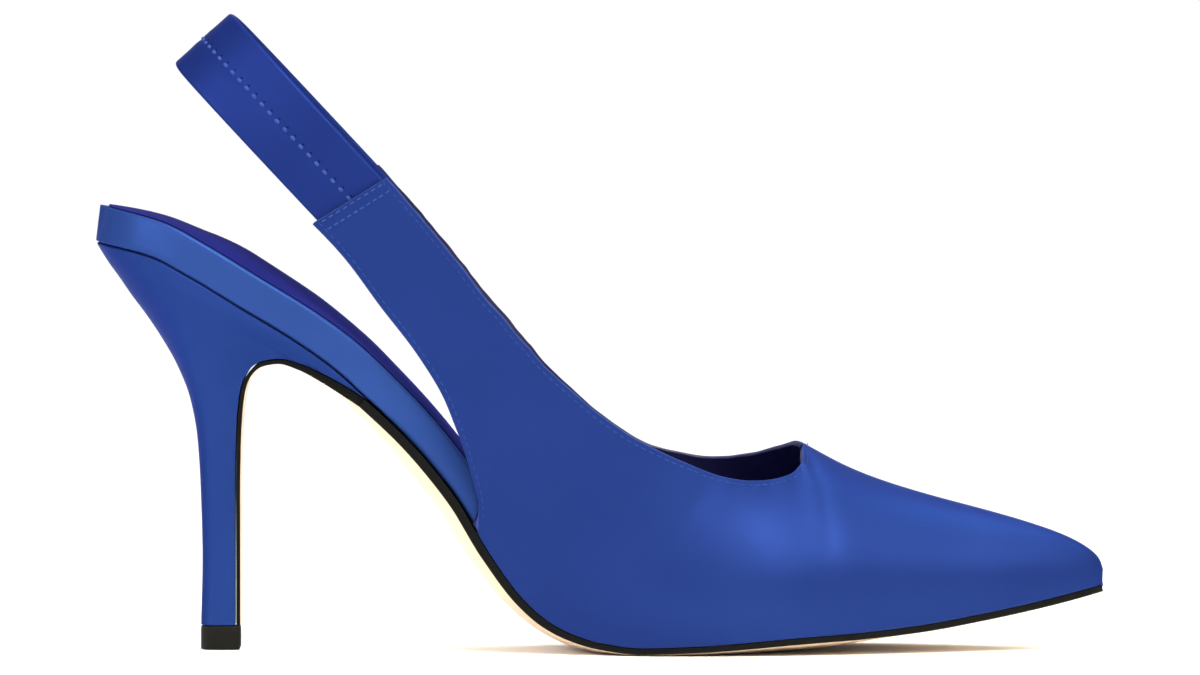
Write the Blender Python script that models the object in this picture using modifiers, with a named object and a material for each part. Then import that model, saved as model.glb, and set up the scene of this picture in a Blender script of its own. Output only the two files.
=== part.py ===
"""A pointed slingback pump for the right foot, standing on its heel and the ball of its sole.

Everything is in metres. X runs from the heel to the toe, Y to the inner side of the foot, Z up from the ground.
The pieces are worked out along the shoe from the heel's back edge, and then placed with the middle of the
shoe's length at the origin.
"""

import math
from typing import NamedTuple

import bmesh
import bpy
from mathutils import Vector

# Driving sizes
LENGTH = 0.245
BALL_WIDTH = 0.074
HEEL_HEIGHT = 0.0994
INSTEP_HEIGHT = 0.060
TOE_SPRING = 0.0139
SEAT_WIDTH = 0.0516
GAP = 0.0003

# Upper and strap
WALL = 0.0015
STRAP_WALL = 0.0018
STRAP_WIDTH = 0.0189
STRAP_END_WIDTH = 0.0184
STRAP_SHIFT = 0.00055
STRAP_REACH = 0.0516
STRAP_TUCK = 0.008
STRAP_SLOPE = math.radians(46.9)
STRAP_SIDE_POWER = 0.72
STRAP_BACK_POWER = 0.86

# Insole and sock
SEAT_BAND = 0.0087
BAND_ROUND = 0.0009
SOCK_EDGE = 0.0007
SOCK_CROWN = 0.0024
SOCK_MARGIN = 0.0012
SOCK_FULL_HALF = 0.3 * SEAT_WIDTH

# Outsole, heel and top lift
SOLE_EDGE = 0.0020
SOLE_CROWN = 0.0023
SOLE_INSET = 0.0004
FLAP_WALL = 0.0010
FLAP_START = 0.5
FLAP_END = 4.5
STEM_WIDTH = 0.0106
HEEL_ROUND = 0.45
LIFT_HEIGHT = 0.0056

# Thickness of the sole where it lies flat under the ball, and how rounded its crown and the seat are
BALL_SOLE = 0.0016
ROUND_POWER = 2.2
SOLE_STACK = GAP + BALL_SOLE

# Half widths that the pointed ends of the sole, the insole and the sock keep
SOLE_END_HALF = 0.0012
INSOLE_END_HALF = 0.0016
SOCK_END_HALF = 0.0008


class Table:
    """Rows of shares under named columns, read along a smooth curve through the rows."""

    def __init__(self, columns, rows):
        self.columns = columns.split()
        self.rows = rows
        self.keys = [row[0] for row in rows]

    def at(self, key, column):
        """The column's value at a key of the first column, with no swing past the rows' own values."""
        keys, values = self.keys, [row[self.columns.index(column)] for row in self.rows]
        if key <= keys[0]:
            return values[0]
        if key >= keys[-1]:
            return values[-1]
        k = next(i for i in range(len(keys) - 1) if key < keys[i + 1])
        steps = [b - a for a, b in zip(keys, keys[1:])]
        rises = [(b - a) / step for a, b, step in zip(values, values[1:], steps)]

        def tangent(i):
            if i in (0, len(keys) - 1):
                return rises[min(i, len(rises) - 1)]
            before, after = rises[i - 1], rises[i]
            if before * after <= 0:
                return 0.0
            left, right = 2 * steps[i] + steps[i - 1], steps[i] + 2 * steps[i - 1]
            return (left + right) / (left / before + right / after)

        step, t = steps[k], (key - keys[k]) / steps[k]
        start, end = values[k], values[k + 1]
        return (
            start * (1 + 2 * t) * (1 - t) ** 2
            + end * t * t * (3 - 2 * t)
            + step * tangent(k) * t * (1 - t) ** 2
            - step * tangent(k + 1) * t * t * (1 - t)
        )


# The feather line, where insole and upper meet the sole. along is a share of the length, rise of the
# heel's height over the sole, spring of the toe spring.
FEATHER = Table("along rise spring", [
    (0.000, 1.000, 0.000),
    (0.056, 0.9656, 0.000),
    (0.094, 0.9165, 0.000),
    (0.146, 0.8379, 0.000),
    (0.201, 0.7544, 0.000),
    (0.240, 0.6836, 0.000),
    (0.270, 0.6148, 0.000),
    (0.302, 0.5362, 0.000),
    (0.331, 0.4556, 0.000),
    (0.361, 0.3583, 0.000),
    (0.391, 0.2312, 0.000),
    (0.425, 0.1162, 0.000),
    (0.450, 0.0615, 0.000),
    (0.475, 0.030, 0.000),
    (0.500, 0.0118, 0.000),
    (0.540, 0.000, 0.000),
    (0.600, 0.000, 0.039),
    (0.700, 0.000, 0.181),
    (0.760, 0.000, 0.256),
    (0.820, 0.000, 0.371),
    (0.880, 0.000, 0.546),
    (0.940, 0.000, 0.752),
    (1.000, 0.000, 1.000),
])

# The outline from above. half and shift are shares of the ball's width, shift is towards the inner side.
PLAN = Table("along half shift", [
    (0.330, 0.284, -0.020),
    (0.375, 0.286, -0.030),
    (0.428, 0.312, -0.032),
    (0.490, 0.377, -0.026),
    (0.551, 0.439, -0.014),
    (0.612, 0.470, -0.002),
    (0.673, 0.462, 0.006),
    (0.735, 0.420, 0.016),
    (0.796, 0.356, 0.024),
    (0.857, 0.277, 0.028),
    (0.906, 0.207, 0.027),
    (0.947, 0.142, 0.024),
    (0.980, 0.084, 0.021),
    (0.993, 0.053, 0.020),
    (1.000, 0.020, 0.019),
])

# The seat's outline, with half as a share of the seat's width
SEAT = Table("along half", [
    (0.000, 0.040),
    (0.004, 0.140),
    (0.016, 0.270),
    (0.041, 0.398),
    (0.082, 0.478),
    (0.122, 0.500),
    (0.184, 0.493),
    (0.245, 0.462),
    (0.330, 0.404),
])

# Thickness along the insole, as a share of the seat band, and the sock's crown and edge as shares of their own
INSOLE = Table("along thick crown pad", [
    (0.000, 1.00, 0.00, 0.35),
    (0.050, 1.00, 0.10, 0.50),
    (0.130, 0.99, 1.00, 1.00),
    (0.190, 0.97, 0.78, 1.00),
    (0.240, 0.95, 0.38, 1.00),
    (0.340, 0.84, 0.05, 1.00),
    (0.400, 0.65, 0.05, 1.00),
    (0.460, 0.40, 0.10, 1.00),
    (0.540, 0.28, 0.10, 1.00),
    (1.000, 0.24, 0.05, 1.00),
])

# The outsole's edge and its bulge below that, as shares of their sizes
SOLE = Table("along edge crown", [
    (0.170, 1.05, 0.15),
    (0.240, 1.10, 0.35),
    (0.264, 1.11, 0.78),
    (0.305, 1.12, 1.22),
    (0.345, 1.12, 1.48),
    (0.375, 1.08, 1.42),
    (0.400, 1.00, 1.25),
    (0.425, 0.95, 1.08),
    (0.455, 0.85, 0.90),
    (0.500, 0.75, 0.85),
    (0.560, 0.72, 0.90),
    (0.640, 0.72, 1.00),
    (0.700, 0.74, 1.12),
    (0.727, 0.75, 1.02),
    (0.752, 0.76, 0.74),
    (0.780, 0.77, 0.52),
    (0.850, 0.80, 0.38),
    (0.900, 0.80, 0.30),
    (0.950, 0.80, 0.17),
    (1.000, 0.75, 0.12),
])

# The heel from its seat down to the top lift. Back and front points are shares of the length and of the
# heel's height, half and front (half widths) of the seat's width, and seat is how much of the seat's arch stays.
HEEL = Table("level back_along back_rise front_along front_rise half front seat", [
    (0, 0.0000, 1.000, 0.270, 0.618, 0.500, 0.420, 1.00),
    (1, 0.0055, 0.976, 0.251, 0.648, 0.490, 0.420, 0.88),
    (2, 0.0125, 0.948, 0.229, 0.678, 0.473, 0.414, 0.72),
    (3, 0.0226, 0.913, 0.205, 0.704, 0.445, 0.398, 0.55),
    (4, 0.0350, 0.868, 0.184, 0.716, 0.406, 0.368, 0.40),
    (5, 0.0500, 0.818, 0.165, 0.708, 0.359, 0.322, 0.27),
    (6, 0.0660, 0.758, 0.1510, 0.680, 0.298, 0.262, 0.15),
    (7, 0.0802, 0.695, 0.1435, 0.634, 0.238, 0.202, 0.05),
    (8, 0.0935, 0.609, 0.1400, 0.563, 0.184, 0.151, 0.00),
    (9, 0.1003, 0.513, 0.1385, 0.483, 0.148, 0.120, 0.00),
    (10, 0.1035, 0.382, 0.1378, 0.367, 0.123, 0.101, 0.00),
    (11, 0.1050, 0.221, 0.1378, 0.217, 0.107, 0.089, 0.00),
    (12, 0.1035, 0.060, 0.1378, 0.060, 0.103, 0.085, 0.00),
])
LEVELS = 12
LIP_LEVEL = 0
SEAT_LEVEL = 3
STEM_LEVEL = 9

# The upper from the toe tip to the quarter's corner on the feather line. low and crest are shares of the
# length for the lower and the top edge, height of the instep above the feather line, reach of the ball's
# width from the middle. The section leaves the feather line by bow (share of the ball's width) and wall
# (share of its own height), and comes to its top edge from cap (share of its lower half width) and drop
# (share of its height). On the inner side the top edge is higher, further back and nearer the middle by
# higher, behind and nearer, as shares of the instep, the length and the ball's width.
VAMP = Table("station low crest height reach cap drop bow wall higher behind nearer", [
    (0, 1.000, 1.0008, 0.047, 0.000, 0.600, 0.000, 0.000, 0.50, 0.000, 0.000, 0.000),
    (1, 0.995, 0.9965, 0.102, 0.000, 0.600, 0.000, 0.003, 0.55, 0.000, 0.000, 0.000),
    (2, 0.980, 0.983, 0.167, 0.000, 0.600, 0.010, 0.008, 0.58, 0.000, 0.000, 0.000),
    (3, 0.950, 0.953, 0.257, 0.000, 0.580, 0.010, 0.018, 0.56, 0.000, 0.000, 0.000),
    (4, 0.906, 0.896, 0.379, 0.000, 0.600, 0.010, 0.030, 0.52, 0.000, 0.000, 0.000),
    (5, 0.858, 0.836, 0.487, 0.000, 0.618, 0.010, 0.041, 0.50, 0.000, 0.000, 0.000),
    (6, 0.815, 0.779, 0.587, 0.000, 0.628, 0.010, 0.052, 0.48, 0.000, 0.000, 0.000),
    (7, 0.780, 0.735, 0.676, 0.000, 0.635, 0.010, 0.059, 0.46, 0.000, 0.000, 0.000),
    (8, 0.750, 0.702, 0.761, 0.000, 0.628, 0.010, 0.061, 0.45, 0.000, 0.000, 0.000),
    (9, 0.733, 0.702, 0.716, 0.150, 0.320, 0.100, 0.055, 0.45, 0.052, 0.0075, 0.068),
    (10, 0.714, 0.6975, 0.676, 0.216, 0.262, 0.155, 0.052, 0.44, 0.080, 0.012, 0.068),
    (11, 0.693, 0.6865, 0.648, 0.277, 0.205, 0.200, 0.052, 0.43, 0.094, 0.0145, 0.064),
    (12, 0.671, 0.667, 0.638, 0.326, 0.172, 0.230, 0.053, 0.42, 0.087, 0.012, 0.041),
    (13, 0.648, 0.648, 0.643, 0.364, 0.130, 0.250, 0.055, 0.41, 0.074, 0.012, 0.020),
    (14, 0.618, 0.622, 0.668, 0.396, 0.105, 0.270, 0.056, 0.39, 0.049, 0.010, 0.010),
    (15, 0.573, 0.582, 0.739, 0.425, 0.085, 0.310, 0.054, 0.37, 0.003, 0.004, 0.006),
    (16, 0.525, 0.540, 0.825, 0.438, 0.070, 0.320, 0.048, 0.35, -0.032, 0.000, 0.000),
    (17, 0.478, 0.500, 0.913, 0.441, 0.060, 0.320, 0.042, 0.34, -0.031, 0.000, 0.000),
    (18, 0.433, 0.464, 0.990, 0.438, 0.050, 0.320, 0.040, 0.34, -0.027, 0.000, 0.000),
    (19, 0.380, 0.430, 1.033, 0.432, 0.050, 0.320, 0.040, 0.34, -0.022, 0.000, 0.000),
])
THROAT_STATION = 8
CORNER_STATION = 19

# The quarter from that corner up to the strap. back and lift are the rear edge's share of the length and of
# the instep above the feather line, half its share of the ball's width; crest, height and reach as above. On the
# inner side the top edge is lower, and its end lies further behind.
QUARTER = Table("station back lift half crest height reach bow lower behind", [
    (19, 0.380, 0.000, 0.290, 0.430, 1.033, 0.432, 0.040, 0.022, 0.000),
    (20, 0.3805, 0.119, 0.322, 0.407, 1.028, 0.430, 0.026, 0.021, 0.000),
    (21, 0.3715, 0.209, 0.350, 0.388, 0.999, 0.427, 0.018, 0.018, 0.000),
    (22, 0.359, 0.282, 0.370, 0.368, 0.965, 0.423, 0.012, 0.022, 0.000),
    (23, 0.3445, 0.347, 0.386, 0.350, 0.948, 0.419, 0.008, 0.018, 0.000),
    (24, 0.319, 0.391, 0.397, 0.333, 0.947, 0.415, 0.006, 0.019, 0.000),
    (25, 0.287, 0.425, 0.402, 0.316, 0.950, 0.410, 0.004, 0.016, 0.000),
    (26, 0.256, 0.478, 0.402, 0.297, 0.958, 0.404, 0.002, 0.020, 0.000),
    (27, 0.2182, 0.523, 0.399, 0.290, 0.962, 0.399, 0.000, 0.010, 0.012),
])
JOINT_STATION = 27

# Between which stations the vamp round the throat is smoothed, and how often
CALM_STATIONS = (5, 14)
CALM_ROUNDS = 3

# How far a section's control points lie from its ends towards the other end, along the shoe
LEAN_LOW = 0.15
LEAN_TOP = 0.55

# Half the distance over which slopes are read
SLOPE_REACH = 0.0016 * LENGTH

# Counts of sections and of points across them
UPPER_STEPS = 2
UPPER_ACROSS = 10
RIBBON_STEPS = 52
HEEL_ACROSS = 11
STRAP_STEPS = 34


class Point(NamedTuple):
    """A place in the side view, with the direction up and away from the sole."""

    along: float
    height: float
    normal: Vector


def slope_of(line, along):
    """How fast a line along the shoe rises or widens at a distance from the heel's back."""
    return (line(along + SLOPE_REACH) - line(along - SLOPE_REACH)) / (2 * SLOPE_REACH)


def feather_height(along):
    """Height of the feather line above the ground at a distance from the heel's back."""
    share = along / LENGTH
    rise = FEATHER.at(share, "rise") * (HEEL_HEIGHT - SOLE_STACK)
    return SOLE_STACK + rise + FEATHER.at(share, "spring") * TOE_SPRING


def feather_point(along):
    """Place and normal of the feather line."""
    slope = slope_of(feather_height, along)
    return Point(along, feather_height(along), Vector((-slope, 1.0)).normalized())


def fade(value, start, end):
    """0 before the start, 1 after the end, smooth between them."""
    share = min(max((value - start) / (end - start), 0.0), 1.0)
    return share * share * (3 - 2 * share)


def plan_half(along):
    """Half width of the shoe's outline: the seat at the back, the upper's foot in front."""
    share = along / LENGTH
    seat = SEAT.at(share, "half") * SEAT_WIDTH
    front = PLAN.at(share, "half") * BALL_WIDTH
    return seat + (front - seat) * fade(share, 0.24, 0.36)


def plan_shift(along):
    """How far the outline's middle lies towards the inner side."""
    share = along / LENGTH
    return PLAN.at(share, "shift") * BALL_WIDTH * fade(share, 0.15, 0.36)


def inset_half(along, inset):
    """Half width of the outline drawn in by a distance measured square to it."""
    return plan_half(along) - inset * math.hypot(1.0, slope_of(plan_half, along))


def insole_half(along):
    """Half width of the insole: the seat's own outline, and inside the upper's wall in front of it."""
    return inset_half(along, (WALL + GAP) * fade(along / LENGTH, 0.25, 0.33))


def insole_tip(inset):
    """Where an outline drawn in by this much still has a few millimetres of width at the toe."""
    along = 0.99 * LENGTH - inset
    while inset_half(along, inset) < INSOLE_END_HALF:
        along -= SLOPE_REACH
    return along


def sock_half(along):
    """Half width of the sock: the insole's outline drawn in by its margin, with some width left at its ends."""
    drawn_in = SOCK_MARGIN * math.hypot(1.0, slope_of(insole_half, along))
    return max(insole_half(along) - drawn_in, SOCK_END_HALF)


def heel_point(level, end):
    """Back or front point of the heel's outline at a level, in the side view."""
    return (
        HEEL.at(level, end + "_along") * LENGTH,
        HEEL.at(level, end + "_rise") * HEEL_HEIGHT,
    )


def heel_front(level):
    """The middle of the heel's front edge at a level: under the insole at the lip, then down the front face."""
    along, height = heel_point(level, "front")
    lip_along, lip_height = heel_point(LIP_LEVEL, "front")
    lip = feather_point(lip_along)
    under = lip.height - GAP / lip.normal.y
    return along, height + (under - lip_height) * HEEL.at(level, "seat")


def new_object(name, mesh, collection, material):
    """An object for one piece, in its collection, with its finish and smooth shading."""
    piece = bpy.data.objects.new(name, mesh)
    collection.objects.link(piece)
    mesh.materials.append(material)
    mesh.shade_smooth()
    mesh.set_sharp_from_angle(angle=math.radians(35))
    piece.location.x = -LENGTH / 2
    return piece


def finish(name, colour, roughness, metallic=0.0):
    """A plain material in the piece's own colour."""
    material = bpy.data.materials.new(name)
    material.use_nodes = True
    shader = material.node_tree.nodes["Principled BSDF"]
    shader.inputs["Base Color"].default_value = (*colour, 1.0)
    shader.inputs["Roughness"].default_value = roughness
    shader.inputs["Metallic"].default_value = metallic
    return material


def loft(name, loops):
    """A closed mesh through loops of equal length, with a face over each end."""
    shape = bmesh.new()
    rings = [[shape.verts.new(point) for point in loop] for loop in loops]
    count = len(rings[0])
    for ring, following in zip(rings, rings[1:]):
        for k in range(count):
            shape.faces.new((ring[k], ring[(k + 1) % count], following[(k + 1) % count], following[k]))
    shape.faces.new(rings[0][::-1])
    shape.faces.new(rings[-1])
    bmesh.ops.recalc_face_normals(shape, faces=shape.faces)
    mesh = bpy.data.meshes.new(name)
    shape.to_mesh(mesh)
    shape.free()
    return mesh


def across(point, shift, section):
    """Points of a section that stands square to the side view's line: each is a width and a height over it."""
    return [
        Vector((
            point.along + point.normal.x * height,
            shift + width,
            point.height + point.normal.y * height,
        ))
        for width, height in section
    ]


def stations(start, end, steps):
    """Distances along the shoe, closer together at both ends where the outline turns."""
    middle, half = (start + end) / 2, (end - start) / 2
    blend = 0.72
    for i in range(steps + 1):
        even = 2 * i / steps - 1
        yield middle + half * (blend * math.sin(even * math.pi / 2) + (1 - blend) * even)


def insole_section(half, thick):
    """Flat below, with the wrapped edge rounded over at the top."""
    rim = min(BAND_ROUND, thick / 3, half / 2)
    side = [(half, 0.0), (half + rim / 4, thick / 2), (half, thick - rim), (half - rim, thick)]
    return [(-width, height) for width, height in reversed(side)][::-1] + side[::-1]


def make_insole():
    """The wrapped board under the foot, thick where it shows behind the quarters."""
    tip = insole_tip(WALL + GAP)
    loops = []
    for along in stations(0.0, tip, RIBBON_STEPS):
        point = feather_point(along)
        thick = INSOLE.at(along / LENGTH, "thick") * SEAT_BAND
        section = insole_section(insole_half(along), thick)
        loops.append(across(point, plan_shift(along), section))
    return loft("insole", loops)


def make_sock():
    """The padded lining that lies on the insole, crowned under the heel."""
    tip = insole_tip(WALL + GAP + SOCK_MARGIN)
    loops = []
    for along in stations(SOCK_MARGIN, tip, RIBBON_STEPS):
        point = feather_point(along)
        share = along / LENGTH
        base = INSOLE.at(share, "thick") * SEAT_BAND + GAP
        half = sock_half(along)
        crown = INSOLE.at(share, "crown") * SOCK_CROWN * min(half / SOCK_FULL_HALF, 1.0)
        edge = INSOLE.at(share, "pad") * SOCK_EDGE
        top = []
        for k in range(7):
            width = 1 - k / 3
            top.append((half * width, base + edge + crown * (1 - width * width)))
        section = [(-half, base)] + [(half, base)] + top
        loops.append(across(point, plan_shift(along), section))
    return loft("sock", loops)


def sole_line():
    """The outsole's upper side from the toe tip back to the heel's lip and down its front face.

    Each row holds a point with its normal, the gap over it, the half width, the middle's shift, the edge and
    the crown.
    """
    lip = HEEL.at(LIP_LEVEL, "front_along") * LENGTH
    rows = []
    for along in reversed(list(stations(lip, LENGTH - SOLE_INSET, RIBBON_STEPS))):
        rows.append((
            feather_point(along),
            GAP * (2 - fade(along, lip, lip + 0.05 * LENGTH)),
            max(inset_half(along, SOLE_INSET), SOLE_END_HALF),
            plan_shift(along),
            SOLE.at(along / LENGTH, "edge") * SOLE_EDGE,
            SOLE.at(along / LENGTH, "crown") * SOLE_CROWN,
        ))
    steps = 2 * LEVELS
    for i in range(1, steps + 1):
        level = LEVELS * i / steps
        along, height = heel_front(level)
        before, after = heel_front(max(level - 0.2, 0)), heel_front(min(level + 0.2, LEVELS))
        run = Vector((before[0] - after[0], before[1] - after[1])).normalized()
        edge = SOLE.at(along / LENGTH, "edge") * SOLE_EDGE
        rows.append((
            Point(along, height, Vector((-run.y, run.x))),
            GAP,
            HEEL.at(level, "front") * heel_width(level) - SOLE_INSET,
            plan_shift(along),
            edge + (FLAP_WALL - edge) * fade(level, FLAP_START, FLAP_END),
            SOLE.at(along / LENGTH, "crown") * SOLE_CROWN,
        ))
    return rows


def heel_width(level):
    """Width that the heel's shares refer to: the seat's at the top, the stem's lower down."""
    stem = STEM_WIDTH / (2 * HEEL.at(LEVELS, "half"))
    return SEAT_WIDTH + (stem - SEAT_WIDTH) * fade(level, SEAT_LEVEL, STEM_LEVEL)


def make_outsole():
    """The leather sole: a straight edge, a bulging bottom that is flat under the ball, a flap down the heel."""
    loops = []
    for point, gap, half, shift, edge, crown in sole_line():
        top = -gap
        section = [(-half, top), (half, top), (half, top - 0.7 * edge)]
        for k in range(9):
            width = 1 - k / 4
            section.append((
                (half - 0.15 * edge) * width,
                top - edge - crown * (1 - abs(width) ** ROUND_POWER),
            ))
        section.append((-half, top - 0.7 * edge))
        loop = across(point, shift, section)
        for corner in loop:
            corner.z = max(corner.z, 0.0)
        loops.append(loop)
    lowest = LIFT_HEIGHT + GAP
    for corner in loops[-1]:
        corner.z = lowest
    return loft("outsole", loops)


def heel_outline(level):
    """One outline of the heel, from its back round the outer side to the front and back again."""
    back, front = heel_point(level, "back"), heel_point(level, "front")
    seat = HEEL.at(level, "seat")
    half, corner = HEEL.at(level, "half"), HEEL.at(level, "front")
    top_start, top_end = heel_point(0, "back"), heel_point(0, "front")
    outline = []
    for i in range(HEEL_ACROSS + 1):
        share = 1 - math.cos(math.pi / 2 * i / HEEL_ACROSS)
        along = back[0] + (front[0] - back[0]) * share
        height = back[1] + (front[1] - back[1]) * share
        top_along = top_start[0] + (top_end[0] - top_start[0]) * share
        point = feather_point(top_along)
        under = feather_height(top_along) - GAP / point.normal.y
        arch = under - (top_start[1] + (top_end[1] - top_start[1]) * share)
        round_back = math.sqrt(1 - (1 - min(share / HEEL_ROUND, 1.0)) ** ROUND_POWER)
        flank = 1 - (1 - corner / half) * max((share - HEEL_ROUND) / (1 - HEEL_ROUND), 0.0) ** 2
        plain = half * heel_width(level) * round_back * flank
        width = plain + (insole_half(top_along) - plain) * seat ** 2
        shift = plan_shift(top_along) * seat
        outline.append((along, height + arch * seat, width, shift))
    lateral = [Vector((along, shift - width, height)) for along, height, width, shift in outline]
    medial = [Vector((along, shift + width, height)) for along, height, width, shift in outline]
    return lateral, medial


def make_heel():
    """The wrapped stiletto heel, under the seat from its back to the thin lip at the waist."""
    shape = bmesh.new()
    count = HEEL_ACROSS + 1
    levels = [heel_outline(LEVELS * i / (2 * LEVELS)) for i in range(2 * LEVELS + 1)]
    lowest = LIFT_HEIGHT + GAP
    for side in levels[-1]:
        for corner in side:
            corner.z = lowest
    rows = [
        ([shape.verts.new(p) for p in lateral], [shape.verts.new(p) for p in medial])
        for lateral, medial in levels
    ]
    for (lateral, medial), (lower_lateral, lower_medial) in zip(rows, rows[1:]):
        for i in range(count - 1):
            shape.faces.new((lateral[i], lateral[i + 1], lower_lateral[i + 1], lower_lateral[i]))
            shape.faces.new((medial[i + 1], medial[i], lower_medial[i], lower_medial[i + 1]))
        shape.faces.new((lateral[-1], medial[-1], lower_medial[-1], lower_lateral[-1]))
        shape.faces.new((medial[0], lateral[0], lower_lateral[0], lower_medial[0]))
    for lateral, medial in (rows[0], rows[-1]):
        for i in range(count - 1):
            shape.faces.new((lateral[i], lateral[i + 1], medial[i + 1], medial[i]))
    bmesh.ops.remove_doubles(shape, verts=shape.verts, dist=0.00001)
    bmesh.ops.recalc_face_normals(shape, faces=shape.faces)
    mesh = bpy.data.meshes.new("heel")
    shape.to_mesh(mesh)
    shape.free()
    return mesh


def make_top_lift():
    """The rubber block under the stem, as long as stem and flap together."""
    lateral, medial = heel_outline(LEVELS)
    front = lateral[-1].x + GAP + FLAP_WALL
    outline = lateral + [Vector((front, lateral[-1].y, 0)), Vector((front, medial[-1].y, 0))] + medial[:0:-1]
    loops = [
        [Vector((corner.x, corner.y, height)) for corner in outline]
        for height in (0.0, LIFT_HEIGHT)
    ]
    return loft("top_lift", loops)


def bezier(points, share):
    """A point on the cubic curve that four control points give."""
    rest = 1 - share
    weights = (rest ** 3, 3 * rest ** 2 * share, 3 * rest * share ** 2, share ** 3)
    return sum((point * weight for point, weight in zip(points, weights)), Vector((0, 0, 0)))


def ridge_slope(station):
    """Fall of the vamp's ridge towards the toe, fading out round the throat."""
    ahead, behind = min(station, THROAT_STATION) - 1, min(station, THROAT_STATION)
    ahead = max(ahead, 0)
    if ahead == behind:
        return 0.0
    places = [
        (
            VAMP.at(key, "crest") * LENGTH,
            feather_height(VAMP.at(key, "crest") * LENGTH) + VAMP.at(key, "height") * INSTEP_HEIGHT,
        )
        for key in (ahead, behind)
    ]
    fall = (places[1][1] - places[0][1]) / (places[1][0] - places[0][0])
    return fall * (1 - fade(station, THROAT_STATION, THROAT_STATION + 4))


def vamp_controls(station, side):
    """Control points of a section of the vamp or the lower quarter, on one side of the shoe."""
    low = VAMP.at(station, "low") * LENGTH
    crest = VAMP.at(station, "crest") * LENGTH
    height, reach = VAMP.at(station, "height"), VAMP.at(station, "reach")
    if side > 0:
        crest -= VAMP.at(station, "behind") * LENGTH
        height += VAMP.at(station, "higher")
        reach -= VAMP.at(station, "nearer")
    half = plan_half(low)
    foot = Vector((low, plan_shift(low) + side * half, feather_height(low)))
    middle = max(plan_shift(crest), 0.0)
    top = Vector((
        crest,
        middle + side * reach * BALL_WIDTH,
        feather_height(crest) + height * INSTEP_HEIGHT,
    ))
    tall = top.z - foot.z
    bow = VAMP.at(station, "bow") * BALL_WIDTH
    run = foot.x - top.x
    lower = foot + Vector((-run * LEAN_LOW, side * bow, VAMP.at(station, "wall") * tall))
    sweep = run * LEAN_TOP
    upper = top + Vector((
        sweep,
        side * VAMP.at(station, "cap") * half,
        ridge_slope(station) * sweep - VAMP.at(station, "drop") * tall,
    ))
    return foot, lower, upper, top


def quarter_controls(station, side):
    """Control points of a section of the quarter, from its rear edge to the topline."""
    back = QUARTER.at(station, "back") * LENGTH
    crest = QUARTER.at(station, "crest") * LENGTH
    free = fade(station, CORNER_STATION, CORNER_STATION + 3)
    height, half = QUARTER.at(station, "height"), QUARTER.at(station, "half") * BALL_WIDTH
    if side > 0:
        crest -= QUARTER.at(station, "behind") * LENGTH
        height -= QUARTER.at(station, "lower")
    corner = VAMP.at(CORNER_STATION, "low") * LENGTH
    if station < CORNER_STATION + 1:
        near = CORNER_STATION + 1 - station
        half += (plan_half(corner) - QUARTER.at(CORNER_STATION, "half") * BALL_WIDTH) * near
    shift = plan_shift(corner) * (1 - free)
    foot = Vector((
        back,
        shift + side * half,
        feather_height(back) + QUARTER.at(station, "lift") * INSTEP_HEIGHT,
    ))
    top = Vector((
        crest,
        side * QUARTER.at(station, "reach") * BALL_WIDTH,
        feather_height(crest) + height * INSTEP_HEIGHT,
    ))
    run = top - foot
    bow = Vector((0, side * QUARTER.at(station, "bow") * BALL_WIDTH, 0))
    return foot, foot + run / 3 + bow, top - run / 3 + bow / 2, top


def upper_controls(station, side):
    """Control points of any section between the toe tip and the strap."""
    if station <= CORNER_STATION:
        return vamp_controls(station, side)
    return quarter_controls(station, side)


def make_upper():
    """The hollow satin upper: one open surface from the feather line to the topline, given its wall."""
    shape = bmesh.new()
    count = JOINT_STATION * UPPER_STEPS
    closed = THROAT_STATION * UPPER_STEPS
    sides = {}
    for side in (-1, 1):
        grid = []
        for i in range(count + 1):
            controls = upper_controls(i / UPPER_STEPS, side)
            row = []
            for j in range(UPPER_ACROSS + 1):
                if side > 0 and i <= closed and j == UPPER_ACROSS:
                    row.append(sides[-1][i][j])
                    continue
                row.append(shape.verts.new(bezier(controls, j / UPPER_ACROSS)))
            grid.append(row)
        sides[side] = grid
        for row, following in zip(grid, grid[1:]):
            for j in range(UPPER_ACROSS):
                corners = (row[j], following[j], following[j + 1], row[j + 1])
                shape.faces.new(corners if side < 0 else corners[::-1])
    first, last = (station * UPPER_STEPS for station in CALM_STATIONS)
    calm = [point for grid in sides.values() for row in grid[first:last] for point in row[2:-1]]
    for _ in range(CALM_ROUNDS):
        bmesh.ops.smooth_vert(shape, verts=calm, factor=0.5, use_axis_x=True, use_axis_y=True, use_axis_z=True)
    outer, inner = sides[-1][0], sides[1][0]
    for j in range(UPPER_ACROSS - 1):
        shape.faces.new((outer[j], outer[j + 1], inner[j + 1], inner[j]))
    shape.faces.new((outer[-2], outer[-1], inner[-2]))
    bmesh.ops.recalc_face_normals(shape, faces=shape.faces)
    mesh = bpy.data.meshes.new("upper")
    shape.to_mesh(mesh)
    shape.free()
    return mesh


class StrapFrame(NamedTuple):
    """Where the strap starts between the quarters' ends, and its directions."""

    middle: Vector
    run: Vector
    tuck: Vector
    rise: Vector
    spread: float


def strap_frame():
    """The strap's place: it goes on from the quarters' ends, and its tucked ends follow the quarters."""
    foot, _, _, top = quarter_controls(JOINT_STATION, 1)
    foot_before, _, _, top_before = quarter_controls(JOINT_STATION - 1, 1)
    side_view = Vector((1, 0, 1))
    middle = (foot + top) / 2 * side_view
    rise = ((top - foot) * side_view).normalized()
    return StrapFrame(
        middle=middle + rise * STRAP_SHIFT,
        run=Vector((-math.cos(STRAP_SLOPE), 0, math.sin(STRAP_SLOPE))),
        tuck=(middle - (foot_before + top_before) / 2 * side_view).normalized(),
        rise=rise,
        spread=abs(foot.y) - WALL - GAP,
    )


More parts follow.
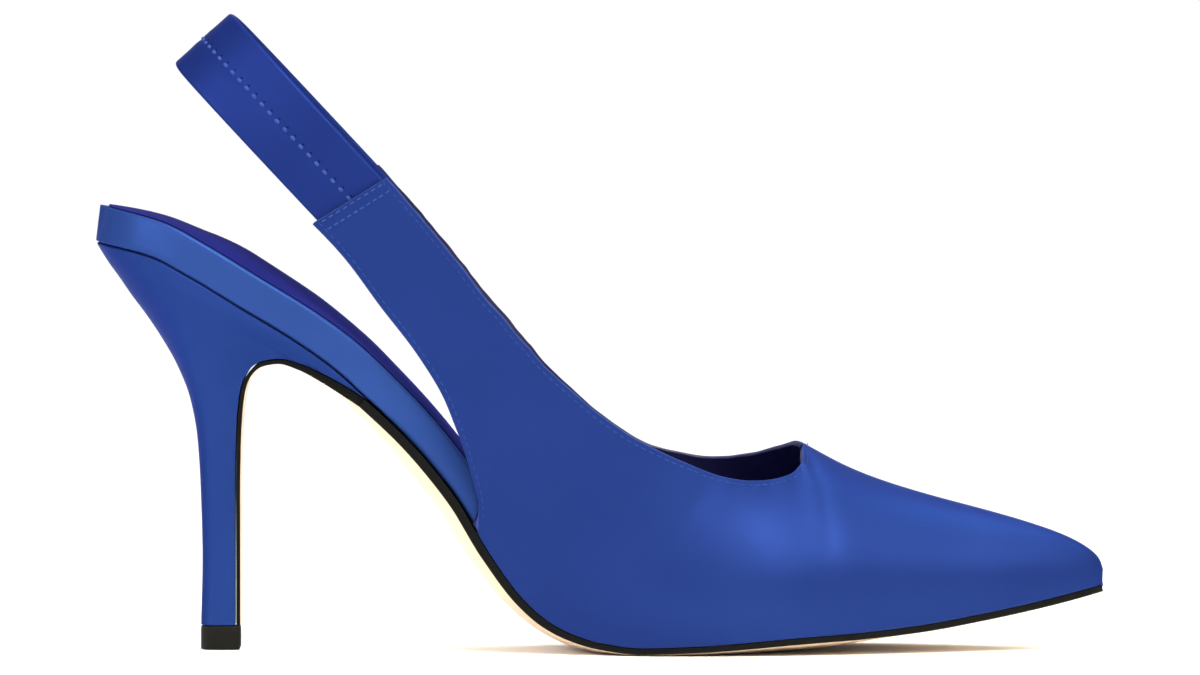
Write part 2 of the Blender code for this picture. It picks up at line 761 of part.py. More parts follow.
def strap_section(frame, turn):
    """One section across the strap; turn runs from one tucked end to the other."""
    reach = STRAP_REACH + STRAP_TUCK
    side = math.copysign(abs(math.sin(turn)) ** STRAP_SIDE_POWER, math.sin(turn))
    back = abs(math.cos(turn)) ** STRAP_BACK_POWER
    width = STRAP_END_WIDTH + (STRAP_WIDTH - STRAP_END_WIDTH) * back
    places = []
    for edge, depth in ((-0.5, 0.0), (0.5, 0.0), (0.5, STRAP_WALL), (-0.5, STRAP_WALL)):
        away = back * (reach - depth) - STRAP_TUCK
        along = frame.tuck if away < 0 else frame.run
        wide = Vector((0, side * (frame.spread - depth), 0))
        places.append(frame.middle + along * away + frame.rise * (edge * width) + wide)
    return places


def make_strap():
    """The sling strap: a flat band bent in a loop round the heel, its ends tucked inside the quarters."""
    frame = strap_frame()
    turns = [math.pi * (i / STRAP_STEPS - 0.5) for i in range(STRAP_STEPS + 1)]
    return loft("sling_strap", [strap_section(frame, turn) for turn in turns])


def main():
    """Clears the scene and makes each piece in turn."""
    for leftover in list(bpy.data.objects):
        bpy.data.objects.remove(leftover, do_unlink=True)
    shoe = bpy.data.collections.new("slingback_pump")
    bpy.context.scene.collection.children.link(shoe)

    satin = finish("blue_satin", (0.026, 0.062, 0.330), 0.42)
    lining = finish("blue_lining", (0.030, 0.055, 0.260), 0.60)
    leather = finish("sole_leather", (0.760, 0.560, 0.390), 0.45)
    rubber = finish("black_rubber", (0.012, 0.012, 0.012), 0.60)

    new_object("insole", make_insole(), shoe, satin)
    new_object("sock", make_sock(), shoe, lining)
    new_object("outsole", make_outsole(), shoe, leather)
    new_object("heel", make_heel(), shoe, satin)
    new_object("top_lift", make_top_lift(), shoe, rubber)
    new_object("sling_strap", make_strap(), shoe, satin)
    upper = new_object("upper", make_upper(), shoe, satin)
    wall = upper.modifiers.new("wall", "SOLIDIFY")
    wall.thickness = WALL
    wall.offset = -1.0


if __name__ == "__main__":
    main()
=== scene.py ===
"""Dresses the right shoe of a satin slingback pump, from its upper and strap to the heel's top lift.

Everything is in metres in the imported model's frame: X to the toe, Y to the inner side of the foot, Z up.
The pieces are worked out along the shoe from the heel's back edge and then moved so that the middle of its
length is at the origin.
"""

import logging
import math
from dataclasses import dataclass, field
from enum import Enum
from typing import Callable, NamedTuple, Sequence

import bmesh
import bpy
import numpy as np
from mathutils import Euler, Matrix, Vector


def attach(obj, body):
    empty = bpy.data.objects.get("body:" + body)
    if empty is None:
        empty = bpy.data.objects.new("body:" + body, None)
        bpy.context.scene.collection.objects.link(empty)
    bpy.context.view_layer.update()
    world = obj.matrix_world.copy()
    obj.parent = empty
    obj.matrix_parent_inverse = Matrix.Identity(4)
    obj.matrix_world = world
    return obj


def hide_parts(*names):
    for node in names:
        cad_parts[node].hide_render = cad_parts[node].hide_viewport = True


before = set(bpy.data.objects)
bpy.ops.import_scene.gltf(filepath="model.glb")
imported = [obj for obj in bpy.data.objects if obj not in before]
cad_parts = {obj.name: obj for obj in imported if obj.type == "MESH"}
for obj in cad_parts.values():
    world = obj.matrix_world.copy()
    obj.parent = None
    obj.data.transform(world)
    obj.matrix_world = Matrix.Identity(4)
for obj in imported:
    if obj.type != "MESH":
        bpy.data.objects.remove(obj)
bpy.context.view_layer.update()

LOG = logging.getLogger("slingback")
BODY = "root"
Colour = tuple[float, float, float]
Place = tuple[float, float, float]
Range = tuple[float, float]


class Side(Enum):
    """The two sides of the foot, by the sign of their Y."""

    OUTER = -1
    INNER = 1


class Part(Enum):
    """Which face of a piece a material goes on, by its place in the piece's list of materials."""

    OUTSIDE = 0
    INSIDE = 1
    EDGE = 2


class End(Enum):
    """The two ends of the heel's outline in the side view, by the start of their columns' names."""

    BACK = "back"
    FRONT = "front"


class Layout(Enum):
    """What a pattern is laid out on."""

    SOLID = "Object"
    CLOTH = "UV"


def fade(value: np.ndarray, start: float, end: float) -> np.ndarray:
    """Goes smoothly from 0 before the start to 1 after the end.

    Args:
        value: Where to read it.
        start: Where it leaves 0.
        end: Where it reaches 1.

    Returns:
        The share between 0 and 1.
    """
    share = np.clip((value - start) / (end - start), 0.0, 1.0)
    return share * share * (3 - 2 * share)


class Table:
    """Rows of shares under named columns, read along a smooth curve through the rows."""

    def __init__(self, columns: str, rows: Sequence[tuple[float, ...]]) -> None:
        """Keeps the columns by name; the first one is the key.

        Args:
            columns: The columns' names with spaces between them.
            rows: The values, by rising key.
        """
        names = columns.split()
        self.values = {name: np.array([row[k] for row in rows], float) for k, name in enumerate(names)}
        self.keys = self.values[names[0]]

    def at(self, key: np.ndarray, column: str) -> np.ndarray:
        """Reads a column with no swing past the rows' own values.

        Args:
            key: Values of the first column to read at.
            column: The column's name.

        Returns:
            The column's values there.
        """
        keys, values = self.keys, self.values[column]
        steps = np.diff(keys)
        rises = np.diff(values) / steps
        left, right = 2 * steps[1:] + steps[:-1], steps[1:] + 2 * steps[:-1]
        before, after = rises[:-1], rises[1:]
        same = before * after > 0
        safe_before, safe_after = np.where(same, before, 1.0), np.where(same, after, 1.0)
        blend = (left + right) / (left / safe_before + right / safe_after)
        slopes = np.concatenate([rises[:1], np.where(same, blend, 0.0), rises[-1:]])
        key = np.clip(key, keys[0], keys[-1])
        k = np.clip(np.searchsorted(keys, key, side="right") - 1, 0, len(keys) - 2)
        step = steps[k]
        t = (key - keys[k]) / step
        return (
            values[k] * (1 + 2 * t) * (1 - t) ** 2
            + values[k + 1] * t * t * (3 - 2 * t)
            + step * slopes[k] * t * (1 - t) ** 2
            - step * slopes[k + 1] * t * t * (1 - t)
        )


# The feather line, where insole and upper meet the sole. along is a share of the length, rise of the
# heel's height over the sole, spring of the toe spring.
FEATHER = Table("along rise spring", [
    (0.000, 1.000, 0.000),
    (0.056, 0.9656, 0.000),
    (0.094, 0.9165, 0.000),
    (0.146, 0.8379, 0.000),
    (0.201, 0.7544, 0.000),
    (0.240, 0.6836, 0.000),
    (0.270, 0.6148, 0.000),
    (0.302, 0.5362, 0.000),
    (0.331, 0.4556, 0.000),
    (0.361, 0.3583, 0.000),
    (0.391, 0.2312, 0.000),
    (0.425, 0.1162, 0.000),
    (0.450, 0.0615, 0.000),
    (0.475, 0.030, 0.000),
    (0.500, 0.0118, 0.000),
    (0.540, 0.000, 0.000),
    (0.600, 0.000, 0.039),
    (0.700, 0.000, 0.181),
    (0.760, 0.000, 0.256),
    (0.820, 0.000, 0.371),
    (0.880, 0.000, 0.546),
    (0.940, 0.000, 0.752),
    (1.000, 0.000, 1.000),
])

# The outline from above. half and shift are shares of the ball's width, shift is towards the inner side.
PLAN = Table("along half shift", [
    (0.330, 0.284, -0.020),
    (0.375, 0.286, -0.030),
    (0.428, 0.312, -0.032),
    (0.490, 0.377, -0.026),
    (0.551, 0.439, -0.014),
    (0.612, 0.470, -0.002),
    (0.673, 0.462, 0.006),
    (0.735, 0.420, 0.016),
    (0.796, 0.356, 0.024),
    (0.857, 0.277, 0.028),
    (0.906, 0.207, 0.027),
    (0.947, 0.142, 0.024),
    (0.980, 0.084, 0.021),
    (0.993, 0.053, 0.020),
    (1.000, 0.020, 0.019),
])

# The seat's outline, with half as a share of the seat's width
SEAT = Table("along half", [
    (0.000, 0.040),
    (0.004, 0.140),
    (0.016, 0.270),
    (0.041, 0.398),
    (0.082, 0.478),
    (0.122, 0.500),
    (0.184, 0.493),
    (0.245, 0.462),
    (0.330, 0.404),
])

# The insole's thickness as a share of the seat band, and the sock's crown and edge as shares of their sizes
INSOLE = Table("along thick crown pad", [
    (0.000, 1.00, 0.00, 0.35),
    (0.050, 1.00, 0.10, 0.50),
    (0.130, 0.99, 1.00, 1.00),
    (0.190, 0.97, 0.78, 1.00),
    (0.240, 0.95, 0.38, 1.00),
    (0.340, 0.84, 0.05, 1.00),
    (0.400, 0.65, 0.05, 1.00),
    (0.460, 0.40, 0.10, 1.00),
    (0.540, 0.28, 0.10, 1.00),
    (1.000, 0.24, 0.05, 1.00),
])

# The outsole's edge and its bulge below that, as shares of their sizes
SOLE = Table("along edge crown", [
    (0.170, 1.05, 0.15),
    (0.240, 1.10, 0.35),
    (0.264, 1.11, 0.78),
    (0.305, 1.12, 1.22),
    (0.345, 1.12, 1.48),
    (0.375, 1.08, 1.42),
    (0.400, 1.00, 1.25),
    (0.425, 0.95, 1.08),
    (0.455, 0.85, 0.90),
    (0.500, 0.75, 0.85),
    (0.560, 0.72, 0.90),
    (0.640, 0.72, 1.00),
    (0.700, 0.74, 1.12),
    (0.727, 0.75, 1.02),
    (0.752, 0.76, 0.74),
    (0.780, 0.77, 0.52),
    (0.850, 0.80, 0.38),
    (0.900, 0.80, 0.30),
    (0.950, 0.80, 0.17),
    (1.000, 0.75, 0.12),
])

# The heel from its seat down to the top lift. Back and front points are shares of the length and of the
# heel's height, half and front (half widths) of the seat's width, and seat is how much of its arch stays.
HEEL = Table("level back_along back_rise front_along front_rise half front seat", [
    (0, 0.0000, 1.000, 0.270, 0.618, 0.500, 0.420, 1.00),
    (1, 0.0055, 0.976, 0.251, 0.648, 0.490, 0.420, 0.88),
    (2, 0.0125, 0.948, 0.229, 0.678, 0.473, 0.414, 0.72),
    (3, 0.0226, 0.913, 0.205, 0.704, 0.445, 0.398, 0.55),
    (4, 0.0350, 0.868, 0.184, 0.716, 0.406, 0.368, 0.40),
    (5, 0.0500, 0.818, 0.165, 0.708, 0.359, 0.322, 0.27),
    (6, 0.0660, 0.758, 0.1510, 0.680, 0.298, 0.262, 0.15),
    (7, 0.0802, 0.695, 0.1435, 0.634, 0.238, 0.202, 0.05),
    (8, 0.0935, 0.609, 0.1400, 0.563, 0.184, 0.151, 0.00),
    (9, 0.1003, 0.513, 0.1385, 0.483, 0.148, 0.120, 0.00),
    (10, 0.1035, 0.382, 0.1378, 0.367, 0.123, 0.101, 0.00),
    (11, 0.1050, 0.221, 0.1378, 0.217, 0.107, 0.089, 0.00),
    (12, 0.1035, 0.060, 0.1378, 0.060, 0.103, 0.085, 0.00),
])
LEVELS = 12

# The upper from the toe tip to the quarter's corner on the feather line, as shares of the length, the
# instep's height and the ball's width. On the inner side the top edge is higher, further back and nearer the
# middle.
VAMP = Table("station low crest height reach cap drop bow wall higher behind nearer", [
    (0, 1.000, 1.0008, 0.047, 0.000, 0.600, 0.000, 0.000, 0.50, 0.000, 0.000, 0.000),
    (1, 0.995, 0.9965, 0.102, 0.000, 0.600, 0.000, 0.003, 0.55, 0.000, 0.000, 0.000),
    (2, 0.980, 0.983, 0.167, 0.000, 0.600, 0.010, 0.008, 0.58, 0.000, 0.000, 0.000),
    (3, 0.950, 0.953, 0.257, 0.000, 0.580, 0.010, 0.018, 0.56, 0.000, 0.000, 0.000),
    (4, 0.906, 0.896, 0.379, 0.000, 0.600, 0.010, 0.030, 0.52, 0.000, 0.000, 0.000),
    (5, 0.858, 0.836, 0.487, 0.000, 0.618, 0.010, 0.041, 0.50, 0.000, 0.000, 0.000),
    (6, 0.815, 0.779, 0.587, 0.000, 0.628, 0.010, 0.052, 0.48, 0.000, 0.000, 0.000),
    (7, 0.780, 0.735, 0.676, 0.000, 0.635, 0.010, 0.059, 0.46, 0.000, 0.000, 0.000),
    (8, 0.750, 0.702, 0.761, 0.000, 0.628, 0.010, 0.061, 0.45, 0.000, 0.000, 0.000),
    (9, 0.733, 0.702, 0.716, 0.150, 0.320, 0.100, 0.055, 0.45, 0.052, 0.0075, 0.068),
    (10, 0.714, 0.6975, 0.676, 0.216, 0.262, 0.155, 0.052, 0.44, 0.080, 0.012, 0.068),
    (11, 0.693, 0.6865, 0.648, 0.277, 0.205, 0.200, 0.052, 0.43, 0.094, 0.0145, 0.064),
    (12, 0.671, 0.667, 0.638, 0.326, 0.172, 0.230, 0.053, 0.42, 0.087, 0.012, 0.041),
    (13, 0.648, 0.648, 0.643, 0.364, 0.130, 0.250, 0.055, 0.41, 0.074, 0.012, 0.020),
    (14, 0.618, 0.622, 0.668, 0.396, 0.105, 0.270, 0.056, 0.39, 0.049, 0.010, 0.010),
    (15, 0.573, 0.582, 0.739, 0.425, 0.085, 0.310, 0.054, 0.37, 0.003, 0.004, 0.006),
    (16, 0.525, 0.540, 0.825, 0.438, 0.070, 0.320, 0.048, 0.35, -0.032, 0.000, 0.000),
    (17, 0.478, 0.500, 0.913, 0.441, 0.060, 0.320, 0.042, 0.34, -0.031, 0.000, 0.000),
    (18, 0.433, 0.464, 0.990, 0.438, 0.050, 0.320, 0.040, 0.34, -0.027, 0.000, 0.000),
    (19, 0.380, 0.430, 1.033, 0.432, 0.050, 0.320, 0.040, 0.34, -0.022, 0.000, 0.000),
])
THROAT_STATION = 8
CORNER_STATION = 19

# The quarter from that corner up to the strap, with its rear edge as shares of the same sizes. On the inner
# side the top edge is lower, and its end lies further behind.
QUARTER = Table("station back lift half crest height reach bow lower behind", [
    (19, 0.380, 0.000, 0.290, 0.430, 1.033, 0.432, 0.040, 0.022, 0.000),
    (20, 0.3805, 0.119, 0.322, 0.407, 1.028, 0.430, 0.026, 0.021, 0.000),
    (21, 0.3715, 0.209, 0.350, 0.388, 0.999, 0.427, 0.018, 0.018, 0.000),
    (22, 0.359, 0.282, 0.370, 0.368, 0.965, 0.423, 0.012, 0.022, 0.000),
    (23, 0.3445, 0.347, 0.386, 0.350, 0.948, 0.419, 0.008, 0.018, 0.000),
    (24, 0.319, 0.391, 0.397, 0.333, 0.947, 0.415, 0.006, 0.019, 0.000),
    (25, 0.287, 0.425, 0.402, 0.316, 0.950, 0.410, 0.004, 0.016, 0.000),
    (26, 0.256, 0.478, 0.402, 0.297, 0.958, 0.404, 0.002, 0.020, 0.000),
    (27, 0.2182, 0.523, 0.399, 0.290, 0.962, 0.399, 0.000, 0.010, 0.012),
])
JOINT_STATION = 27


class Line(NamedTuple):
    """Places along a line in the side view, each with the direction up and away from the sole."""

    along: np.ndarray
    height: np.ndarray
    normal_along: np.ndarray
    normal_height: np.ndarray


@dataclass(frozen=True)
class Last:
    """The foot's form that every piece is drawn on."""

    length: float = 0.245
    ball_width: float = 0.074
    heel_height: float = 0.0994
    instep_height: float = 0.060
    toe_spring: float = 0.0139
    seat_width: float = 0.0516
    gap: float = 0.0003
    wall: float = 0.0015
    seat_band: float = 0.0087
    sole_edge: float = 0.0020
    sole_crown: float = 0.0023
    ball_sole: float = 0.0016
    slope_share: float = 0.0016
    seat_end: Range = (0.24, 0.36)
    shift_start: Range = (0.15, 0.36)
    wall_start: Range = (0.25, 0.33)

    @property
    def sole_stack(self) -> float:
        """Height of the feather line over the ground under the ball."""
        return self.gap + self.ball_sole

    def slope(self, line: Callable[[np.ndarray], np.ndarray], along: np.ndarray) -> np.ndarray:
        """How fast a line along the shoe rises or widens.

        Args:
            line: The line's height or width at a distance from the heel's back.
            along: Where to read it.

        Returns:
            The slope there.
        """
        reach = self.slope_share * self.length
        return (line(along + reach) - line(along - reach)) / (2 * reach)

    def feather(self, along: np.ndarray) -> np.ndarray:
        """Height of the feather line above the ground.

        Args:
            along: Distances from the heel's back.

        Returns:
            The heights.
        """
        share = along / self.length
        rise = FEATHER.at(share, "rise") * (self.heel_height - self.sole_stack)
        return self.sole_stack + rise + FEATHER.at(share, "spring") * self.toe_spring

    def feather_line(self, along: np.ndarray) -> Line:
        """The feather line with its normals.

        Args:
            along: Distances from the heel's back.

        Returns:
            The line's places.
        """
        slope = self.slope(self.feather, along)
        size = np.hypot(1.0, slope)
        return Line(along, self.feather(along), -slope / size, 1 / size)

    def half(self, along: np.ndarray) -> np.ndarray:
        """Half width of the shoe's outline from above.

        Args:
            along: Distances from the heel's back.

        Returns:
            The half widths.
        """
        share = along / self.length
        seat = SEAT.at(share, "half") * self.seat_width
        front = PLAN.at(share, "half") * self.ball_width
        return seat + (front - seat) * fade(share, *self.seat_end)

    def shift(self, along: np.ndarray) -> np.ndarray:
        """How far the outline's middle lies towards the inner side.

        Args:
            along: Distances from the heel's back.

        Returns:
            The shifts.
        """
        share = along / self.length
        return PLAN.at(share, "shift") * self.ball_width * fade(share, *self.shift_start)

    def drawn_in(self, along: np.ndarray, inset: np.ndarray) -> np.ndarray:
        """Half width of the outline drawn in by a distance measured square to it.

        Args:
            along: Distances from the heel's back.
            inset: How far it is drawn in.

        Returns:
            The half widths.
        """
        return self.half(along) - inset * np.hypot(1.0, self.slope(self.half, along))

    def insole_half(self, along: np.ndarray) -> np.ndarray:
        """Half width of the insole: the seat's own outline, and inside the upper's wall in front of it.

        Args:
            along: Distances from the heel's back.

        Returns:
            The half widths.
        """
        return self.drawn_in(along, (self.wall + self.gap) * fade(along / self.length, *self.wall_start))


LAST = Last()


def put(name: str, data: bpy.types.ID) -> bpy.types.Object:
    """Makes an object and puts it in the scene.

    Args:
        name: Its name.
        data: Its mesh, light or camera.

    Returns:
        The object.
    """
    item = bpy.data.objects.new(name, data)
    bpy.context.scene.collection.objects.link(item)
    return item


class Mesh:
    """Points, faces, materials and UVs of one piece while it is being made."""

    def __init__(self) -> None:
        """Starts empty."""
        self.points: list[np.ndarray] = []
        self.uvs: list[np.ndarray] = []
        self.faces: list[tuple[int, ...]] = []
        self.parts: list[int] = []
        self.count = 0

    def add_points(self, points: np.ndarray, uvs: np.ndarray | None = None) -> np.ndarray:
        """Adds points and says which numbers they have.

        Args:
            points: Any array of places with three values in its last axis.
            uvs: Their places on the cloth, in metres; None for the same as their X and Y.

        Returns:
            The points' numbers in the same arrangement.
        """
        flat = np.asarray(points, float).reshape(-1, 3)
        self.points.append(flat)
        self.uvs.append(flat[:, :2] if uvs is None else np.asarray(uvs, float).reshape(-1, 2))
        numbers = np.arange(self.count, self.count + len(flat))
        self.count += len(flat)
        return numbers.reshape(np.asarray(points).shape[:-1])

    def add_grid(self, numbers: np.ndarray, part: Part = Part.OUTSIDE, closed: bool = False) -> None:
        """Adds the quads of a grid of points.

        Args:
            numbers: The points' numbers by rows.
            part: The material's place.
            closed: Whether each row comes back to its start.
        """
        right = np.roll(numbers, -1, axis=1) if closed else numbers[:, 1:]
        left = numbers if closed else numbers[:, :-1]
        quads = np.stack([left[:-1], right[:-1], right[1:], left[1:]], axis=-1).reshape(-1, 4)
        self.add_faces(quads, part)

    def add_faces(self, faces: np.ndarray, part: Part = Part.OUTSIDE) -> None:
        """Adds faces and drops corners that come twice.

        Args:
            faces: The corners' numbers, a row for each face.
            part: The material's place.
        """
        for face in np.asarray(faces).tolist():
            corners = tuple(dict.fromkeys(face))
            if len(corners) > 2:
                self.faces.append(corners)
                self.parts.append(part.value)

    def place(self) -> np.ndarray:
        """All points so far, in one array."""
        return np.concatenate(self.points)

    def piece(self, name: str, materials: Sequence[bpy.types.Material],
              sharp: float = 40.0) -> bpy.types.Object:
        """Makes the Blender object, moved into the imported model's frame.

        Args:
            name: The piece's name.
            materials: Its materials in the order of Part.
            sharp: Edges that bend more than this many degrees stay sharp.

        Returns:
            The object.
        """
        mesh = bpy.data.meshes.new(name)
        points = self.place() - np.array([LAST.length / 2, 0.0, 0.0])
        mesh.from_pydata(points.tolist(), [], self.faces)
        mesh.validate()
        for material in materials:
            mesh.materials.append(material)
        mesh.polygons.foreach_set("material_index", self.parts)
        layer = mesh.uv_layers.new(name="cloth")
        corners = np.zeros(len(mesh.loops), int)
        mesh.loops.foreach_get("vertex_index", corners)
        layer.data.foreach_set("uv", np.concatenate(self.uvs)[corners].ravel())
        shape = face_outwards(mesh)
        shape.shade_smooth()
        shape.set_sharp_from_angle(angle=math.radians(sharp))
        return put(name, shape)


def face_outwards(mesh: bpy.types.Mesh) -> bpy.types.Mesh:
    """Turns a mesh's faces to look outwards.

    Args:
        mesh: A closed mesh.

    Returns:
        The same mesh.
    """
    shape = bmesh.new()
    shape.from_mesh(mesh)
    bmesh.ops.recalc_face_normals(shape, faces=shape.faces)
    shape.to_mesh(mesh)
    shape.free()
    return mesh


def across(line: Line, shift: np.ndarray, widths: np.ndarray, heights: np.ndarray) -> np.ndarray:
    """Sections that stand square to a line in the side view.

    Args:
        line: The line's places.
        shift: The middle's shift at each place.
        widths: Each section's points' distances from the middle, a row for each place.
        heights: Their heights over the line.

    Returns:
        Places with rows for the sections.
    """
    return np.stack([
        line.along[:, None] + line.normal_along[:, None] * heights,
        shift[:, None] + widths,
        line.height[:, None] + line.normal_height[:, None] * heights,
    ], axis=-1)


def stations(start: float, end: float, steps: int) -> np.ndarray:
    """Distances along the shoe, closer together at both ends where the outline turns.

    Args:
        start: The first distance.
        end: The last distance.
        steps: How many steps lie between them.

    Returns:
        The distances.
    """
    middle, half, blend = (start + end) / 2, (end - start) / 2, 0.72
    even = np.linspace(-1, 1, steps + 1)
    return middle + half * (blend * np.sin(even * math.pi / 2) + (1 - blend) * even)


def cloth_uvs(grid: np.ndarray) -> np.ndarray:
    """Distances along and across a grid of places, for the weave's direction.

    Args:
        grid: Places by rows.

    Returns:
        Two distances for each place, in metres.
    """
    along = np.linalg.norm(np.diff(grid, axis=0), axis=-1).mean(axis=1)
    wide = np.linalg.norm(np.diff(grid, axis=1), axis=-1)
    u = np.concatenate([[0.0], np.cumsum(along)])
    v = np.concatenate([np.zeros((len(grid), 1)), np.cumsum(wide, axis=1)], axis=1)
    return np.stack([np.broadcast_to(u[:, None], v.shape), v], axis=-1)


def loft(mesh: Mesh, loops: np.ndarray, parts: Sequence[Part] | None = None) -> np.ndarray:
    """Adds a closed body through loops of equal length, with a face over each end.

    Args:
        mesh: The mesh to add to.
        loops: Places, a row for each loop.
        parts: The material's place for each strip round the loop; None for the outside.

    Returns:
        The points' numbers.
    """
    numbers = mesh.add_points(loops, cloth_uvs(loops))
    count = loops.shape[1]
    for k in range(count):
        strip = numbers[:, [k, (k + 1) % count]]
        mesh.add_grid(strip, parts[k] if parts else Part.OUTSIDE)
    mesh.add_faces(numbers[:1])
    mesh.add_faces(numbers[-1:, ::-1])
    return numbers


def vertex_normals(points: np.ndarray, faces: Sequence[tuple[int, ...]]) -> np.ndarray:
    """Outward directions at the points of a mesh.

    Args:
        points: The places.
        faces: The faces by their corners' numbers.

    Returns:
        A unit vector for each point.
    """
    corners = np.array([(face[0], face[1], face[2], face[-1]) for face in faces])
    one, two, three, four = (points[corners[:, k]] for k in range(4))
    facing = np.cross(three - one, four - two)
    normals = np.zeros_like(points)
    for k in range(4):
        np.add.at(normals, corners[:, k], facing)
    return normals / np.maximum(np.linalg.norm(normals, axis=1, keepdims=True), 1e-12)


def relax(points: np.ndarray, faces: Sequence[tuple[int, ...]], held: np.ndarray, rounds: int,
          pull: float = 0.45) -> np.ndarray:
    """Evens out short bends as stretched cloth does, and leaves the long ones.

    Args:
        points: The places.
        faces: The faces by their corners' numbers.
        held: True for the points that stay.
        rounds: How many times it is done.
        pull: The share of a bend that one round takes out.

    Returns:
        The new places.
    """
    pairs = {tuple(sorted(pair)) for face in faces for pair in zip(face, face[1:] + face[:1])}
    one, two = np.array(sorted(pairs)).T
    count = np.maximum(np.bincount(np.concatenate([one, two]), minlength=len(points)), 1)[:, None]

    def bend(values: np.ndarray) -> np.ndarray:
        """How far the middle of each point's neighbours is from it.

        Args:
            values: The places.

        Returns:
            The way from each place to that middle.
        """
        total = np.zeros_like(values)
        for axis in range(3):
            total[:, axis] = np.bincount(one, values[two, axis], len(values))
            total[:, axis] += np.bincount(two, values[one, axis], len(values))
        return total / count - values

    points = points.copy()
    free = pull * ~held[:, None]
    for _ in range(rounds):
        points -= bend(bend(points)) * free
    return points


class Shader:
    """A Principled material's node tree while it is being made."""

    ramp_ends: Range = (0.3, 0.7)

    def __init__(self, name: str, settings: dict[str, float | tuple[float, ...]]) -> None:
        """Makes the material and sets its constant sockets.

        Args:
            name: The material's name.
            settings: Values by the shader's socket names.
        """
        self.material = bpy.data.materials.new(name)
        self.material.use_nodes = True
        self.tree = self.material.node_tree
        self.shader = self.tree.nodes["Principled BSDF"]
        for socket, value in settings.items():
            self.shader.inputs[socket].default_value = value

    def node(self, kind: str, **settings: float | Place) -> bpy.types.Node:
        """Adds a node and sets its inputs.

        Args:
            kind: Its type without the words that all of them start with.
            settings: Its inputs' values, with _ for a space in their names.

        Returns:
            The node.
        """
        node = self.tree.nodes.new("ShaderNode" + kind)
        for name, value in settings.items():
            node.inputs[name.replace("_", " ")].default_value = value
        return node

    def link(self, source: bpy.types.NodeSocket, target: bpy.types.NodeSocket) -> None:
        """Links two sockets."""
        self.tree.links.new(source, target)

    def coordinates(self, layout: Layout, scale: Place = (1.0, 1.0, 1.0)) -> bpy.types.NodeSocket:
        """Texture coordinates with a scale.

        Args:
            layout: What they are laid out on.
            scale: How much they are stretched.

        Returns:
            The scaled coordinates.
        """
        mapping = self.node("Mapping", Scale=scale)
        self.link(self.node("TexCoord").outputs[layout.value], mapping.inputs["Vector"])
        return mapping.outputs["Vector"]

    def noise(self, where: bpy.types.NodeSocket, scale: float, detail: float = 2.0) -> bpy.types.NodeSocket:
        """A noise pattern.

        Args:
            where: Its coordinates.
            scale: How fine it is.
            detail: How much finer noise is laid over it.

        Returns:
            The pattern between 0 and 1.
        """
        noise = self.node("TexNoise", Scale=scale, Detail=detail)
        self.link(where, noise.inputs["Vector"])
        return noise.outputs["Fac"]

    def colour_by(self, pattern: bpy.types.NodeSocket, low: Colour, high: Colour) -> None:
        """Colours the surface between two ends by a pattern.

        Args:
            pattern: The pattern.
            low: The colour where it is low.
            high: The colour where it is high.
        """
        ramp = self.node("ValToRGB")
        first, last = ramp.color_ramp.elements
        first.position, last.position = self.ramp_ends
        first.color, last.color = (*low, 1.0), (*high, 1.0)
        self.link(pattern, ramp.inputs["Fac"])
        self.link(ramp.outputs["Color"], self.shader.inputs["Base Color"])

    def roughness_by(self, pattern: bpy.types.NodeSocket, middle: float, reach: float) -> None:
        """Roughens the surface unevenly by a pattern.

        Args:
            pattern: The pattern.
            middle: The roughness where it is halfway.
            reach: How far it goes to either side.
        """
        spread = self.node("MapRange", To_Min=middle - reach, To_Max=middle + reach)
        self.link(pattern, spread.inputs["Value"])
        self.link(spread.outputs["Result"], self.shader.inputs["Roughness"])

    def relief_by(self, *layers: tuple[bpy.types.NodeSocket, float, float]) -> None:
        """Lays patterns over each other as relief.

        Args:
            layers: Each pattern with its height in metres and how much of it shows, the lowest first.
        """
        under = None
        for pattern, distance, strength in layers:
            bump = self.node("Bump", Distance=distance, Strength=strength)
            self.link(pattern, bump.inputs["Height"])
            if under:
                self.link(under, bump.inputs["Normal"])
            under = bump.outputs["Normal"]
        self.link(under, self.shader.inputs["Normal"])


@dataclass(frozen=True)
class Satin:
    """Woven satin: fine threads, a soft coloured sheen and slight unevenness."""

    name: str
    colour: Colour
    shade: Colour
    roughness: float = 0.46
    uneven: float = 0.05
    metallic: float = 0.50
    specular: float = 0.02
    edge_tint: Colour = (0.12, 0.22, 0.55)
    sheen: float = 0.01
    sheen_roughness: float = 0.45
    sheen_tint: Colour = (0.08, 0.38, 1.0)
    warp: Place = (900.0, 9000.0, 1.0)
    weft: Place = (7000.0, 1500.0, 1.0)

    def material(self) -> bpy.types.Material:
        """Makes the material."""
        shader = Shader(self.name, {
            "Metallic": self.metallic,
            "Specular IOR Level": self.specular,
            "Specular Tint": (*self.edge_tint, 1.0),
            "Sheen Weight": self.sheen,
            "Sheen Roughness": self.sheen_roughness,
            "Sheen Tint": (*self.sheen_tint, 1.0),
        })
        where = shader.coordinates(Layout.SOLID)
        clouds = shader.noise(where, 34.0, 3.0)
        ripples = shader.noise(where, 120.0)
        warp = shader.noise(shader.coordinates(Layout.CLOTH, self.warp), 1.0, 1.0)
        weft = shader.noise(shader.coordinates(Layout.CLOTH, self.weft), 1.0, 0.0)
        shader.colour_by(clouds, self.shade, self.colour)
        shader.roughness_by(ripples, self.roughness, self.uneven)
        shader.relief_by((ripples, 0.0004, 0.10), (weft, 0.00003, 0.20), (warp, 0.00004, 0.35))
        return shader.material


